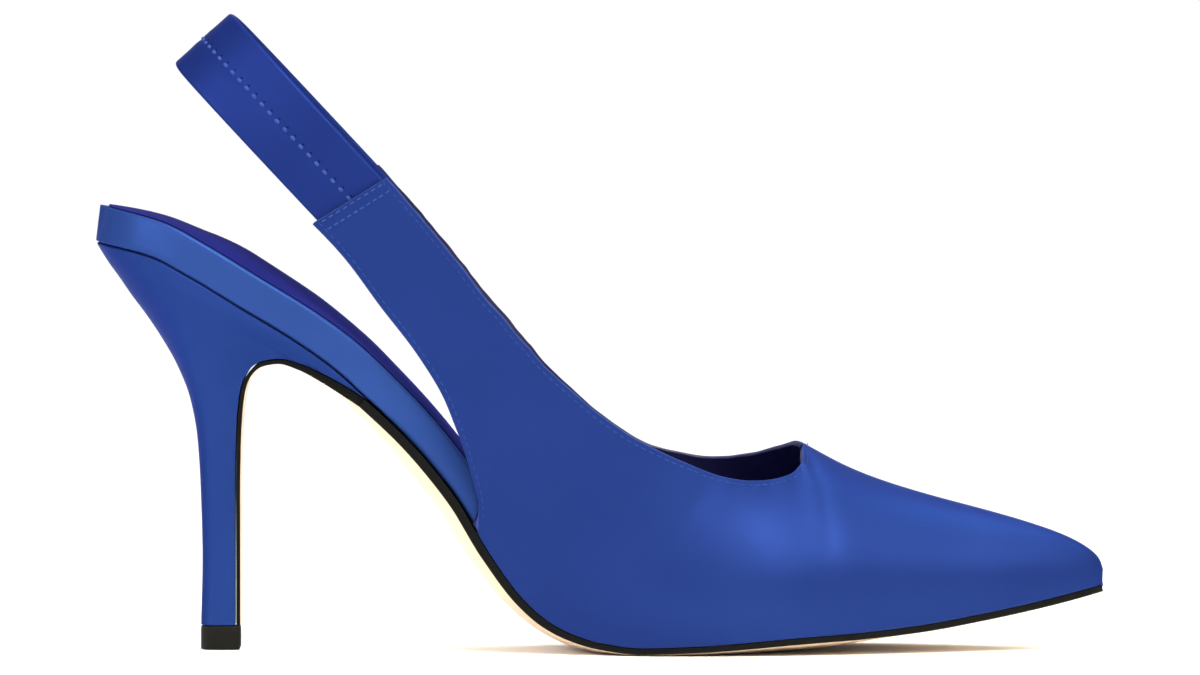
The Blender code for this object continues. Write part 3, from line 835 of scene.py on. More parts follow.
@dataclass(frozen=True)
class Lining:
    """Smooth synthetic lining with a fine grain."""

    name: str
    colour: Colour
    shade: Colour
    roughness: float = 0.55
    specular: float = 0.25
    uneven: float = 0.06

    def material(self) -> bpy.types.Material:
        """Makes the material."""
        shader = Shader(self.name, {"Specular IOR Level": self.specular})
        where = shader.coordinates(Layout.SOLID)
        grain = shader.noise(where, 2600.0, 3.0)
        shader.colour_by(shader.noise(where, 60.0), self.shade, self.colour)
        shader.roughness_by(grain, self.roughness, self.uneven)
        shader.relief_by((grain, 0.00006, 0.35))
        return shader.material


@dataclass(frozen=True)
class SoleLeather:
    """Smooth tan sole leather with long fibres and light scuffs."""

    name: str
    colour: Colour
    shade: Colour
    roughness: float = 0.43
    uneven: float = 0.09
    fibres: Place = (1.0, 2.2, 1.0)
    strokes: Place = (30.0, 700.0, 30.0)

    def material(self) -> bpy.types.Material:
        """Makes the material."""
        shader = Shader(self.name, {"Specular IOR Level": 0.35, "Coat Weight": 0.15, "Coat Roughness": 0.35})
        where = shader.coordinates(Layout.SOLID, self.fibres)
        grain = shader.noise(where, 1500.0, 3.0)
        scuffs = shader.noise(shader.coordinates(Layout.SOLID, self.strokes), 1.0, 1.0)
        shader.colour_by(shader.noise(where, 45.0, 4.0), self.shade, self.colour)
        shader.roughness_by(scuffs, self.roughness, self.uneven)
        shader.relief_by((grain, 0.00005, 0.30), (scuffs, 0.00003, 0.25))
        return shader.material


@dataclass(frozen=True)
class EdgePaint:
    """Black edge paint or moulded rubber with a slight unevenness."""

    name: str
    colour: Colour
    roughness: float
    grain: float
    uneven: float = 0.1
    lighter: float = 1.7

    def material(self) -> bpy.types.Material:
        """Makes the material."""
        shader = Shader(self.name, {"Specular IOR Level": 0.10})
        grain = shader.noise(shader.coordinates(Layout.SOLID), self.grain, 3.0)
        shader.colour_by(grain, self.colour, tuple(self.lighter * value for value in self.colour))
        shader.roughness_by(grain, self.roughness, self.uneven)
        shader.relief_by((grain, 0.00006, 0.4))
        return shader.material


@dataclass(frozen=True)
class Thread:
    """Twisted sewing thread."""

    name: str
    colour: Colour
    darker: float = 0.6
    twist: float = 6000.0

    def material(self) -> bpy.types.Material:
        """Makes the material."""
        shader = Shader(self.name, {"Roughness": 0.6, "Specular IOR Level": 0.10})
        twist = shader.noise(shader.coordinates(Layout.SOLID), self.twist, 1.0)
        shader.colour_by(twist, tuple(self.darker * value for value in self.colour), self.colour)
        shader.relief_by((twist, 0.00004, 0.4))
        return shader.material


Finish = Satin | Lining | SoleLeather | EdgePaint | Thread


@dataclass(frozen=True)
class Finishes:
    """All finishes of the shoe."""

    upper: Satin = Satin("satin_upper", (0.0137, 0.0304, 0.154), (0.0122, 0.0270, 0.141))
    # The turned edge is a lighter copy of the upper's satin: a painted highlight along the rolled edge.
    edge: Satin = Satin("satin_turned_edge_painted_highlight", (0.0400, 0.0600, 0.240), (0.0350, 0.0530, 0.215))
    strap: Satin = Satin("satin_strap", (0.0120, 0.0255, 0.148), (0.0106, 0.0226, 0.135))
    # The band's satin is the upper's satin made lighter: a painted highlight on the band.
    band: Satin = Satin("satin_band_painted_highlight", (0.0235, 0.0555, 0.222), (0.0210, 0.0498, 0.205))
    # The heel's satin is the upper's satin made lighter: a painted highlight on the heel's stem.
    heel: Satin = Satin("satin_heel_painted_highlight", (0.0158, 0.0385, 0.182), (0.0140, 0.0343, 0.167))
    lining: Lining = Lining("lining", (0.0070, 0.0070, 0.050), (0.0055, 0.0055, 0.040))
    sock: Lining = Lining("sock", (0.0105, 0.0125, 0.130), (0.0090, 0.0105, 0.113), 0.80, 0.02)
    leather: SoleLeather = SoleLeather("sole_leather", (0.800, 0.600, 0.440), (0.740, 0.540, 0.380))
    paint: EdgePaint = EdgePaint("edge_paint", (0.0011, 0.0011, 0.0010), 0.55, 900.0)
    rubber: EdgePaint = EdgePaint("lift_rubber", (0.0045, 0.0042, 0.0035), 0.62, 2200.0)
    # The thread is lighter than the satin it sews: partly its own tone and partly a painted highlight on the
    # stitches' raised tops.
    thread: Thread = Thread("thread", (0.0340, 0.0720, 0.290))
    # Dark dots sunk beside the strap's stitches: painted shade of the stitches' relief.
    stitch_painted_shade: Lining = Lining("stitch_painted_shade", (0.0030, 0.0045, 0.030), (0.0025, 0.0035, 0.025), 0.8, 0.1)


def dress(piece: bpy.types.Object, slot: str, *nodes: str) -> bpy.types.Object:
    """Hides the CAD nodes that a piece replaces, hangs the piece on the body, and reports its faces.

    Args:
        piece: The piece.
        slot: Not used.
        nodes: The CAD nodes that it replaces.

    Returns:
        The piece.
    """
    if nodes:
        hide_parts(*nodes)
    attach(piece, BODY)
    LOG.info("%s: %d faces", piece.name, len(piece.data.polygons))
    return piece


def dress_loft(name: str, loops: np.ndarray, finishes: Sequence[Finish], slot: str, node: str,
               parts: Sequence[Part] | None = None) -> bpy.types.Object:
    """Makes a closed piece from a row of outlines, and dresses it.

    Args:
        name: Its name.
        loops: The outlines.
        finishes: The finishes of its parts.
        slot: Passed on to dress, which does not use it.
        node: The CAD node that it replaces.
        parts: The part of each face round an outline.

    Returns:
        The piece.
    """
    mesh = Mesh()
    loft(mesh, loops, parts)
    return dress(mesh.piece(name, [finish.material() for finish in finishes]), slot, node)


class Edge(NamedTuple):
    """Places along an edge with the directions out of the surface and out past the edge."""

    points: np.ndarray
    normals: np.ndarray
    outward: np.ndarray


@dataclass(frozen=True)
class Stitches:
    """A row of stitches that lie on a surface."""

    length: float = 0.00135
    pitch: float = 0.0020
    radius: float = 0.00015
    lift: float = 0.45
    dip: float = 0.6
    part: Part = Part.OUTSIDE
    rings: Sequence[Range] = (
        (-1.0, 0.05), (-0.86, 0.62), (-0.5, 0.94), (0.0, 1.0), (0.5, 0.94), (0.86, 0.62), (1.0, 0.05))
    sides: int = 6

    def add_row(self, mesh: Mesh, path: np.ndarray, normals: np.ndarray) -> None:
        """Adds stitches along a path.

        Args:
            mesh: The mesh to add to.
            path: Places on the surface.
            normals: The surface's directions there.
        """
        steps = np.linalg.norm(np.diff(path, axis=0), axis=1)
        run = np.concatenate([[0.0], np.cumsum(steps)])
        count = max(int(run[-1] / self.pitch), 1)
        turn = np.linspace(0, 2 * math.pi, self.sides, endpoint=False)

        def read(values: np.ndarray, at: float) -> np.ndarray:
            """The path's place or direction at a distance along it."""
            return np.array([np.interp(at, run, values[:, k]) for k in range(3)])

        for centre in (np.arange(count) + 0.5) * run[-1] / count:
            tangent = read(path, centre + self.length / 2) - read(path, centre - self.length / 2)
            tangent /= np.linalg.norm(tangent)
            up = read(normals, centre)
            up -= tangent * up.dot(tangent)
            up /= np.linalg.norm(up)
            wide = np.cross(tangent, up)
            loops = np.array([
                [
                    read(path, centre) + tangent * place * self.length / 2
                    + up * self.radius * (self.lift - self.dip * place * place + size * math.sin(angle))
                    + wide * self.radius * size * math.cos(angle)
                    for angle in turn
                ]
                for place, size in self.rings
            ])
            loft(mesh, loops, [self.part] * self.sides)


class Crease(NamedTuple):
    """A soft trough in the side view, or a ridge where its depth is below zero.

    Its ends are shares of the shoe's length and heights over the ground.
    """

    start: Range
    end: Range
    width: float
    depth: float

    def depth_at(self, places: np.ndarray) -> np.ndarray:
        """How deep the crease is at some places.

        Args:
            places: The places.

        Returns:
            The depths.
        """
        size = np.array([LAST.length, 1.0])
        start, end = np.array(self.start) * size, np.array(self.end) * size
        run = end - start
        flat = places[..., [0, 2]]
        along = np.clip((flat - start) @ run / (run @ run), 0.0, 1.0)
        away = np.linalg.norm(flat - start - along[..., None] * run, axis=-1)
        return self.depth * np.exp(-(away / self.width) ** 2) * np.sin(math.pi * along)


CREASES = (
    Crease((0.470, 0.004), (0.860, 0.034), 0.0130, -0.00040),
    Crease((0.720, 0.002), (0.940, 0.014), 0.0070, 0.00018),
    Crease((0.610, 0.044), (0.560, 0.022), 0.0024, 0.00014),
    Crease((0.585, 0.046), (0.520, 0.028), 0.0026, 0.00012),
    Crease((0.340, 0.088), (0.470, 0.034), 0.0042, 0.00016),
    Crease((0.400, 0.066), (0.440, 0.022), 0.0030, -0.00014),
)


class Skin(NamedTuple):
    """The satin's outer surface, with its closed edge and the numbers of each side's points by rows."""

    points: np.ndarray
    normals: np.ndarray
    loop: np.ndarray
    outward: np.ndarray
    numbers: dict[Side, np.ndarray]


@dataclass
class Upper:
    """The hollow satin upper: vamp with a low throat and two quarters, lined, with turned edges."""

    finishes: Finishes
    steps: int = 10
    rows: int = 44
    lean_low: float = 0.15
    lean_top: float = 0.55
    rim_rows: int = 5
    rim_bulge: float = 0.00025
    relax_rounds: int = 500
    calm_stations: tuple[int, int] = (3, 15)
    calm_rounds: int = 1500
    peak_rounds: int = 8
    stitch_inset: float = 0.0011
    fine_stitches: Stitches = Stitches(radius=0.00009)
    joint_stitches: Stitches = Stitches(0.0013, 0.0018, 0.00021)
    joint_rows: Range = (0.0007, 0.0030)
    pucker: float = 0.00006
    mesh: Mesh = field(default_factory=Mesh)
    skin: Skin | None = None

    def ridge_slope(self, station: np.ndarray) -> np.ndarray:
        """Fall of the vamp's ridge towards the toe, fading out round the throat.

        Args:
            station: The sections.

        Returns:
            The slopes.
        """
        behind = np.minimum(station, THROAT_STATION)
        ahead = np.maximum(behind - 1, 0)

        def ridge(key: np.ndarray) -> tuple[np.ndarray, np.ndarray]:
            """Place of the ridge in the side view."""
            along = VAMP.at(key, "crest") * LAST.length
            return along, LAST.feather(along) + VAMP.at(key, "height") * LAST.instep_height

        (along_one, height_one), (along_two, height_two) = ridge(ahead), ridge(behind)
        run = along_two - along_one
        fall = np.where(np.abs(run) > 1e-9, (height_two - height_one) / np.where(run == 0, 1.0, run), 0.0)
        return fall * (1 - fade(station, THROAT_STATION, THROAT_STATION + 4))

    def vamp_controls(self, station: np.ndarray, side: Side) -> np.ndarray:
        """Control points of sections of the vamp and the lower quarter.

        Args:
            station: The sections.
            side: The side of the foot.

        Returns:
            Four places for each section.
        """
        sign = side.value
        low = VAMP.at(station, "low") * LAST.length
        crest = VAMP.at(station, "crest") * LAST.length
        height, reach = VAMP.at(station, "height"), VAMP.at(station, "reach")
        if side is Side.INNER:
            crest = crest - VAMP.at(station, "behind") * LAST.length
            height = height + VAMP.at(station, "higher")
            reach = reach - VAMP.at(station, "nearer")
        half = LAST.half(low)
        foot = np.stack([low, LAST.shift(low) + sign * half, LAST.feather(low)], axis=-1)
        top = np.stack([
            crest,
            np.maximum(LAST.shift(crest), 0.0) + sign * reach * LAST.ball_width,
            LAST.feather(crest) + height * LAST.instep_height,
        ], axis=-1)
        tall = top[:, 2] - foot[:, 2]
        run = foot[:, 0] - top[:, 0]
        bow = VAMP.at(station, "bow") * LAST.ball_width
        lower = foot + np.stack([-run * self.lean_low, sign * bow, VAMP.at(station, "wall") * tall], axis=-1)
        sweep = run * self.lean_top
        fall = self.ridge_slope(station) * sweep - VAMP.at(station, "drop") * tall
        upper = top + np.stack([sweep, sign * VAMP.at(station, "cap") * half, fall], axis=-1)
        return np.stack([foot, lower, upper, top], axis=1)

    def quarter_controls(self, station: np.ndarray, side: Side) -> np.ndarray:
        """Control points of sections of the quarter, from its rear edge to the topline.

        Args:
            station: The sections.
            side: The side of the foot.

        Returns:
            Four places for each section.
        """
        sign = side.value
        back = QUARTER.at(station, "back") * LAST.length
        crest = QUARTER.at(station, "crest") * LAST.length
        height = QUARTER.at(station, "height")
        if side is Side.INNER:
            crest = crest - QUARTER.at(station, "behind") * LAST.length
            height = height - QUARTER.at(station, "lower")
        corner = VAMP.at(np.array(CORNER_STATION), "low") * LAST.length
        near = np.clip(CORNER_STATION + 1 - station, 0.0, 1.0)
        corner_half = QUARTER.at(np.array(CORNER_STATION), "half") * LAST.ball_width
        half = QUARTER.at(station, "half") * LAST.ball_width + (LAST.half(corner) - corner_half) * near
        shift = LAST.shift(corner) * (1 - fade(station, CORNER_STATION, CORNER_STATION + 3))
        foot = np.stack([
            back,
            shift + sign * half,
            LAST.feather(back) + QUARTER.at(station, "lift") * LAST.instep_height,
        ], axis=-1)
        top = np.stack([
            crest,
            sign * QUARTER.at(station, "reach") * LAST.ball_width,
            LAST.feather(crest) + height * LAST.instep_height,
        ], axis=-1)
        run = (top - foot) / 3
        bow = np.zeros_like(foot)
        bow[:, 1] = sign * QUARTER.at(station, "bow") * LAST.ball_width
        return np.stack([foot, foot + run + bow, top - run + bow / 2, top], axis=1)

    def sections(self, side: Side) -> np.ndarray:
        """Places on the outer surface of one side.

        Args:
            side: The side of the foot.

        Returns:
            Rows of places, from the toe to the strap, each from the lower to the upper edge.
        """
        station = np.linspace(0, JOINT_STATION, JOINT_STATION * self.steps + 1)
        vamp = self.vamp_controls(station, side)
        quarter = self.quarter_controls(station, side)
        controls = np.where((station <= CORNER_STATION)[:, None, None], vamp, quarter)
        share = np.linspace(0, 1, self.rows + 1)[None, :, None]
        rest = 1 - share
        foot, lower, upper, top = (controls[:, None, k] for k in range(4))
        ends = rest ** 3 * foot + share ** 3 * top
        return ends + 3 * rest ** 2 * share * lower + 3 * rest * share ** 2 * upper

    def outer_surface(self) -> tuple[dict[Side, np.ndarray], np.ndarray]:
        """Adds the satin's outer surface to the mesh.

        Returns:
            The points' numbers for each side, and the closed edge of the surface.
        """
        closed = THROAT_STATION * self.steps
        numbers = {}
        for side in Side:
            places = self.sections(side)
            numbers[side] = self.mesh.add_points(places, cloth_uvs(places))
        left, right = numbers[Side.OUTER], numbers[Side.INNER]
        right[:closed + 1, -1] = left[:closed + 1, -1]
        self.mesh.add_grid(left)
        self.mesh.add_grid(right[:, ::-1])
        self.mesh.add_grid(np.stack([right[0], left[0]]))
        loop = np.concatenate([
            left[:, 0], left[-1, 1:], left[closed:-1, -1][::-1],
            right[closed + 1:, -1], right[-1, :-1][::-1], right[:-1, 0][::-1],
        ])
        return numbers, loop

    def outward(self, points: np.ndarray, normals: np.ndarray, loop: np.ndarray,
                numbers: dict[Side, np.ndarray]) -> np.ndarray:
        """Directions out past the surface's closed edge.

        Args:
            points: The surface's places.
            normals: Its directions.
            loop: The edge's points in order.
            numbers: The points' numbers for each side.

        Returns:
            A unit vector for each point of the edge.
        """
        run = points[np.roll(loop, -1)] - points[np.roll(loop, 1)]
        out = np.cross(run, normals[loop])
        out /= np.maximum(np.linalg.norm(out, axis=1, keepdims=True), 1e-12)
        section = numbers[Side.OUTER][JOINT_STATION * self.steps // 2]
        foot, middle = section[0], section[self.rows // 2]
        if out[loop == foot][0].dot(points[foot] - points[middle]) < 0:
            out = -out
        return out

    def build(self) -> bpy.types.Object:
        """Builds the upper with its lining and turned edges.

        Returns:
            The piece.
        """
        numbers, loop = self.outer_surface()
        points, faces = self.mesh.place(), list(self.mesh.faces)
        held = np.ones(len(points), bool)
        held[[corner for face in faces for corner in face]] = False
        held[loop] = True
        self.round_peak(points, numbers)
        points = relax(points, faces, held, self.relax_rounds)
        first, last = (station * self.steps for station in self.calm_stations)
        calm, around = np.zeros(len(points), bool), np.zeros(len(points), bool)
        for side in Side:
            calm[numbers[side][first:last]] = True
            around[numbers[side][first - self.steps:last + self.steps]] = True
        nearby = [face for face in faces if around[face[0]]]
        points = relax(points, nearby, held | ~calm, self.calm_rounds)
        normals = vertex_normals(points, faces)
        if normals[numbers[Side.OUTER], 1].mean() > 0:
            normals = -normals
        points = self.drape(points, normals, numbers)
        draped = vertex_normals(points, faces)
        normals = draped * np.sign((draped * normals).sum(axis=1, keepdims=True))
        self.skin = Skin(points, normals, loop, self.outward(points, normals, loop, numbers), numbers)
        self.mesh.points = [points]
        inside = self.mesh.add_points(points - normals * LAST.wall, np.concatenate(self.mesh.uvs))
        for face in faces:
            self.mesh.add_faces(np.array([[inside[k] for k in face[::-1]]]), Part.INSIDE)
        self.add_rim(inside)
        finishes = (self.finishes.upper, self.finishes.lining, self.finishes.edge)
        piece = self.mesh.piece("upper_satin", [finish.material() for finish in finishes])
        return dress(piece, "satin", "upper")

    def round_peak(self, points: np.ndarray, numbers: dict[Side, np.ndarray]) -> None:
        """Rounds the top edge where both sides meet over the throat.

        Args:
            points: The surface's places, which it changes.
            numbers: The points' numbers for each side.
        """
        closed = THROAT_STATION * self.steps
        left, right = numbers[Side.OUTER][closed:, -1], numbers[Side.INNER][closed + 1:, -1]
        row = np.concatenate([left[::-1], right])
        away = (np.arange(len(row)) - (len(left) - 1)) / (1.5 * self.steps)
        share = 0.5 * np.exp(-away[1:-1, None] ** 2)
        for _ in range(self.peak_rounds):
            middle = (points[row[:-2]] + points[row[2:]]) / 2
            points[row[1:-1]] += share * (middle - points[row[1:-1]])

    def drape(self, points: np.ndarray, normals: np.ndarray, numbers: dict[Side, np.ndarray]) -> np.ndarray:
        """Moves the satin in and out by its soft creases, and by small puckers along the top edge.

        Args:
            points: The surface's places.
            normals: Its directions.
            numbers: The points' numbers for each side.

        Returns:
            The new places.
        """
        moved = points.copy()
        share = np.linspace(0, 1, self.rows + 1)
        calm_edges = fade(share, 0.0, 0.12) * fade(1 - share, 0.0, 0.10)
        for side in Side:
            rows = numbers[side]
            places = points[rows]
            depth = sum(crease.depth_at(places) for crease in CREASES) * calm_edges
            steps = np.linalg.norm(np.diff(places[:, -1], axis=0), axis=1)
            run = np.concatenate([[0.0], np.cumsum(steps)])[:, None]
            away = np.linalg.norm(places - places[:, -1:], axis=-1)
            wave = np.sin(run / 0.0009 + 1.4 * np.sin(run / 0.0031))
            near = np.exp(-(away / 0.0022) ** 2) * (1 - np.exp(-(away / 0.0006) ** 2))
            topline = np.arange(len(rows))[:, None] > THROAT_STATION * self.steps
            depth = depth + self.pucker * wave * near * topline
            moved[rows] = places - normals[rows] * depth[..., None]
        return moved

    def add_rim(self, inside: np.ndarray) -> None:
        """Adds the turned edge all round, with a rounded section.

        Args:
            inside: The numbers of the lining's points.
        """
        loop, half_wall = self.skin.loop, self.skin.normals[self.skin.loop] * LAST.wall / 2
        middle = self.skin.points[loop] - half_wall
        rings = [loop]
        for k in range(1, self.rim_rows):
            angle = math.pi * k / self.rim_rows
            ring = middle + half_wall * math.cos(angle)
            ring = ring + self.skin.outward * self.rim_bulge * math.sin(angle)
            rings.append(self.mesh.add_points(ring, np.zeros((len(loop), 2))))
        rings.append(inside[loop])
        # The outer strips of the turned edge take the lighter satin, a painted highlight along the rolled
        # edge.
        self.mesh.add_grid(np.stack(rings[:3]), Part.EDGE, closed=True)
        self.mesh.add_grid(np.stack(rings[2:]), Part.INSIDE, closed=True)

    def sewn_edges(self) -> list[Edge]:
        """The edges that the fine stitches follow.

        Returns:
            The top edge from strap to strap, and the rear edge of each side.
        """
        place = {int(number): k for k, number in enumerate(self.skin.loop)}
        closed, corner = THROAT_STATION * self.steps, CORNER_STATION * self.steps
        left, right = self.skin.numbers[Side.OUTER], self.skin.numbers[Side.INNER]
        top = np.concatenate([left[closed:, -1][::-1], right[closed + 1:, -1]])
        edges = []
        for row in (top, left[corner:, 0], right[corner:, 0]):
            at = [place[int(number)] for number in row]
            edges.append(Edge(self.skin.points[row], self.skin.normals[row], self.skin.outward[at]))
        return edges

    def stitch(self, mesh: Mesh) -> None:
        """Adds the edge stitching and the two rows over each strap end.

        Args:
            mesh: The mesh of stitches to add to.
        """
        for edge in self.sewn_edges():
            self.fine_stitches.add_row(mesh, edge.points - edge.outward * self.stitch_inset, edge.normals)
        for numbers in self.skin.numbers.values():
            end, before = self.skin.points[numbers[-1]], self.skin.points[numbers[-1 - self.steps]]
            run = np.linalg.norm(end - before, axis=-1)[:, None]
            for back in self.joint_rows:
                path = end + (before - end) * back / run
                self.joint_stitches.add_row(mesh, path[3:-3], self.skin.normals[numbers[-1]][3:-3])


@dataclass
class SlingStrap:
    """The elastic sling strap, one flat band in a loop round the heel."""

    finishes: Finishes
    upper: Upper
    wall: float = 0.0018
    width: float = 0.0189
    end_width: float = 0.0184
    shift: float = 0.00055
    reach: float = 0.0516
    tuck: float = 0.008
    slope: float = math.radians(46.9)
    side_power: float = 0.72
    back_power: float = 0.86
    corner: float = 0.0007
    corner_fall: float = 0.035
    corner_power: int = 60
    trough: Range = (0.00014, 0.0009)
    shoulder: Place = (0.00008, 0.0022, 0.0014)
    stitched: Range = (0.02, 0.98)
    thread_depth: float = 0.00010
    core_depth: float = 0.0010
    rows: Sequence[tuple[float, Stitches]] = (
        (0.0, Stitches(0.0018, 0.0028, 0.00055, -0.25)),
        # The second row is of dark dots sunk beside each stitch: painted shade of the stitches' relief.
        (0.0009, Stitches(0.0010, 0.0028, 0.00034, -0.35, part=Part.INSIDE)),
    )
    steps: int = 160

    def start(self) -> tuple[np.ndarray, np.ndarray, np.ndarray, np.ndarray, float]:
        """Where the strap starts between the quarters' ends, and its directions.

        Returns:
            The middle, the run, the tuck's run, the direction across the strap, and half its spread.
        """
        keys = np.array([JOINT_STATION, JOINT_STATION - 1], float)
        controls = self.upper.quarter_controls(keys, Side.INNER)
        flat = np.array([1.0, 0.0, 1.0])
        middles = (controls[:, 0] + controls[:, 3]) / 2 * flat
        tuck = middles[0] - middles[1]
        rise = (controls[0, 3] - controls[0, 0]) * flat
        rise /= np.linalg.norm(rise)
        run = np.array([-math.cos(self.slope), 0.0, math.sin(self.slope)])
        spread = abs(controls[0, 0, 1]) - LAST.wall - LAST.gap
        return middles[0] + rise * self.shift, run, tuck / np.linalg.norm(tuck), rise, spread

    def surface(self, turn: np.ndarray, edge: np.ndarray, depth: np.ndarray) -> np.ndarray:
        """Places in or on the strap.

        Args:
            turn: Angles from one tucked end to the other.
            edge: Distances across the strap from its middle line.
            depth: Depths under its outer face.

        Returns:
            Rows of places for the turns.
        """
        middle, run, tuck, rise, spread = self.start()
        side = np.sign(np.sin(turn)) * np.abs(np.sin(turn)) ** self.side_power
        back = np.abs(np.cos(turn)) ** self.back_power
        away = back[:, None] * (self.reach + self.tuck - depth[None, :]) - self.tuck
        along = np.where(away[..., None] < 0, tuck, run)
        taper = (self.end_width + (self.width - self.end_width) * back) / self.width
        taper -= self.corner_fall * back ** self.corner_power
        places = middle + along * away[..., None] + rise * (edge[None, :] * taper[:, None])[..., None]
        places[..., 1] += side[:, None] * (spread - depth[None, :])
        return places

    def profile(self) -> tuple[np.ndarray, np.ndarray]:
        """The strap's section: a flat band with rounded edges and a sewn trough along the middle.

        Returns:
            Distances across and depths, round the section.
        """
        half, bend, deep = self.width / 2, self.corner, self.wall
        face = np.linspace(-(half - bend), half - bend, 25)
        deepest, reach = self.trough
        trough = deepest * np.exp(-(face / reach) ** 2)
        high, away, reach = self.shoulder
        trough -= high * np.exp(-((np.abs(face) - away) / reach) ** 2)
        turn = np.linspace(0, math.pi / 2, 5)[1:-1]
        corner_edge, corner_depth = half - bend + bend * np.sin(turn), bend - bend * np.cos(turn)
        edge = np.concatenate([face, corner_edge, [half, half], corner_edge[::-1], face[::-1],
                               -corner_edge, [-half, -half], -corner_edge[::-1]])
        depth = np.concatenate([trough, corner_depth, [bend, deep - bend], deep - corner_depth[::-1],
                                np.full(len(face), deep), deep - corner_depth, [deep - bend, bend],
                                corner_depth[::-1]])
        return edge, depth

    def build(self) -> bpy.types.Object:
        """Builds the strap.

        Returns:
            The piece.
        """
        edge, depth = self.profile()
        turn = math.pi * (np.linspace(0, 1, self.steps + 1) - 0.5)
        loops = self.surface(turn, edge, depth)
        return dress_loft("sling_strap_satin", loops, [self.finishes.strap], "strap_satin", "sling_strap")

    def stitch(self, mesh: Mesh) -> None:
        """Adds the stitch row along the strap's middle, with a row of dark dots beside it as painted shade.

        Args:
            mesh: The mesh of stitches to add to.
        """
        turn = math.pi * (np.linspace(*self.stitched, 400) - 0.5)
        depths = np.array([self.thread_depth, self.core_depth])
        for place, row in self.rows:
            path, core = self.surface(turn, np.full(2, place), depths).transpose(1, 0, 2)
            normals = path - core
            normals /= np.linalg.norm(normals, axis=1, keepdims=True)
            row.add_row(mesh, path, normals)


@dataclass
class FootBed:
    """The wrapped insole board and the padded sock that lies on it."""

    finishes: Finishes
    band_round: float = 0.0009
    band_foot: Sequence[Range] = ((1.0, 0.0), (0.45, 0.12), (0.12, 0.35))
    band_start: float = 0.55
    band_bulge: float = 0.25
    band_bulge_start: float = 0.10
    sock_edge: float = 0.0007
    sock_crown: float = 0.0024
    sock_margin: float = 0.0012
    sock_soft: float = 1.5
    sock_roll: int = 14
    sock_drop: float = 0.0001
    sock_full_half: float = 0.3
    insole_end: float = 0.0016
    sock_end: float = 0.0008
    steps: int = 220

    def tip(self, inset: float) -> float:
        """Where an outline drawn in by this much still has a few millimetres of width at the toe.

        Args:
            inset: How far it is drawn in.

        Returns:
            The distance from the heel's back.
        """
        along = 0.99 * LAST.length - inset
        while LAST.drawn_in(np.array(along), np.array(inset)) < self.insole_end:
            along -= LAST.slope_share * LAST.length
        return along

    def build_insole(self) -> bpy.types.Object:
        """Builds the wrapped board, with its band round the seat.

        Returns:
            The piece.
        """
        along = stations(0.0, self.tip(LAST.wall + LAST.gap), self.steps)
        thick = INSOLE.at(along / LAST.length, "thick") * LAST.seat_band
        half = LAST.insole_half(along)
        rim = np.minimum(np.minimum(self.band_round, thick / 3), half / 2)
        wide = [half - rim * inward for inward, _ in self.band_foot]
        high = [rim * height for _, height in self.band_foot]
        for share in np.linspace(0, 1, 7)[:-1]:
            turn = math.pi * (self.band_bulge_start + (1 - self.band_bulge_start) * share)
            wide.append(half + rim * self.band_bulge * math.sin(turn))
            high.append(rim * self.band_start + (thick - rim * (1 + self.band_start)) * share)
        for angle in np.linspace(0, math.pi / 2, 6):
            wide.append(half - rim + rim * math.cos(angle))
            high.append(thick - rim + rim * math.sin(angle))
        widths, heights = np.stack(wide, axis=1), np.stack(high, axis=1)
        widths = np.concatenate([widths, -widths[:, ::-1]], axis=1)
        heights = np.concatenate([heights, heights[:, ::-1]], axis=1)
        loops = across(LAST.feather_line(along), LAST.shift(along), widths, heights)
        # The band takes the lighter satin, a painted highlight.
        return dress_loft("insole_band", loops, [self.finishes.band], "band_satin", "insole")

    def build_sock(self) -> bpy.types.Object:
        """Builds the padded sock.

        Returns:
            The piece.
        """
        along = stations(self.sock_margin, self.tip(LAST.wall + LAST.gap + self.sock_margin), self.steps)
        share = along / LAST.length
        base = INSOLE.at(share, "thick") * LAST.seat_band + LAST.gap
        inset = self.sock_margin * np.hypot(1.0, LAST.slope(LAST.insole_half, along))
        half = np.maximum(LAST.insole_half(along) - inset, self.sock_end)
        full = self.sock_full_half * LAST.seat_width
        crown = INSOLE.at(share, "crown") * self.sock_crown * np.minimum(half / full, 1.0)
        side = np.linspace(1, -1, 41)
        soft = np.sign(side) * (1 - (1 - np.abs(side)) ** self.sock_soft)
        pad = INSOLE.at(share, "pad")[:, None]
        roll = pad * self.sock_edge * (1 - np.abs(soft) ** self.sock_roll)[None, :]
        heights = base[:, None] + roll + crown[:, None] * (1 - soft[None, :] ** 2)
        under = np.stack([base, base], axis=1) - self.sock_drop
        widths = np.concatenate([np.stack([-half, half], axis=1), half[:, None] * soft], axis=1)
        heights = np.concatenate([under, heights], axis=1)
        loops = across(LAST.feather_line(along), LAST.shift(along), widths, heights)
        piece = dress_loft("sock_pad", loops, [self.finishes.sock], "lining", "sock")
        return piece


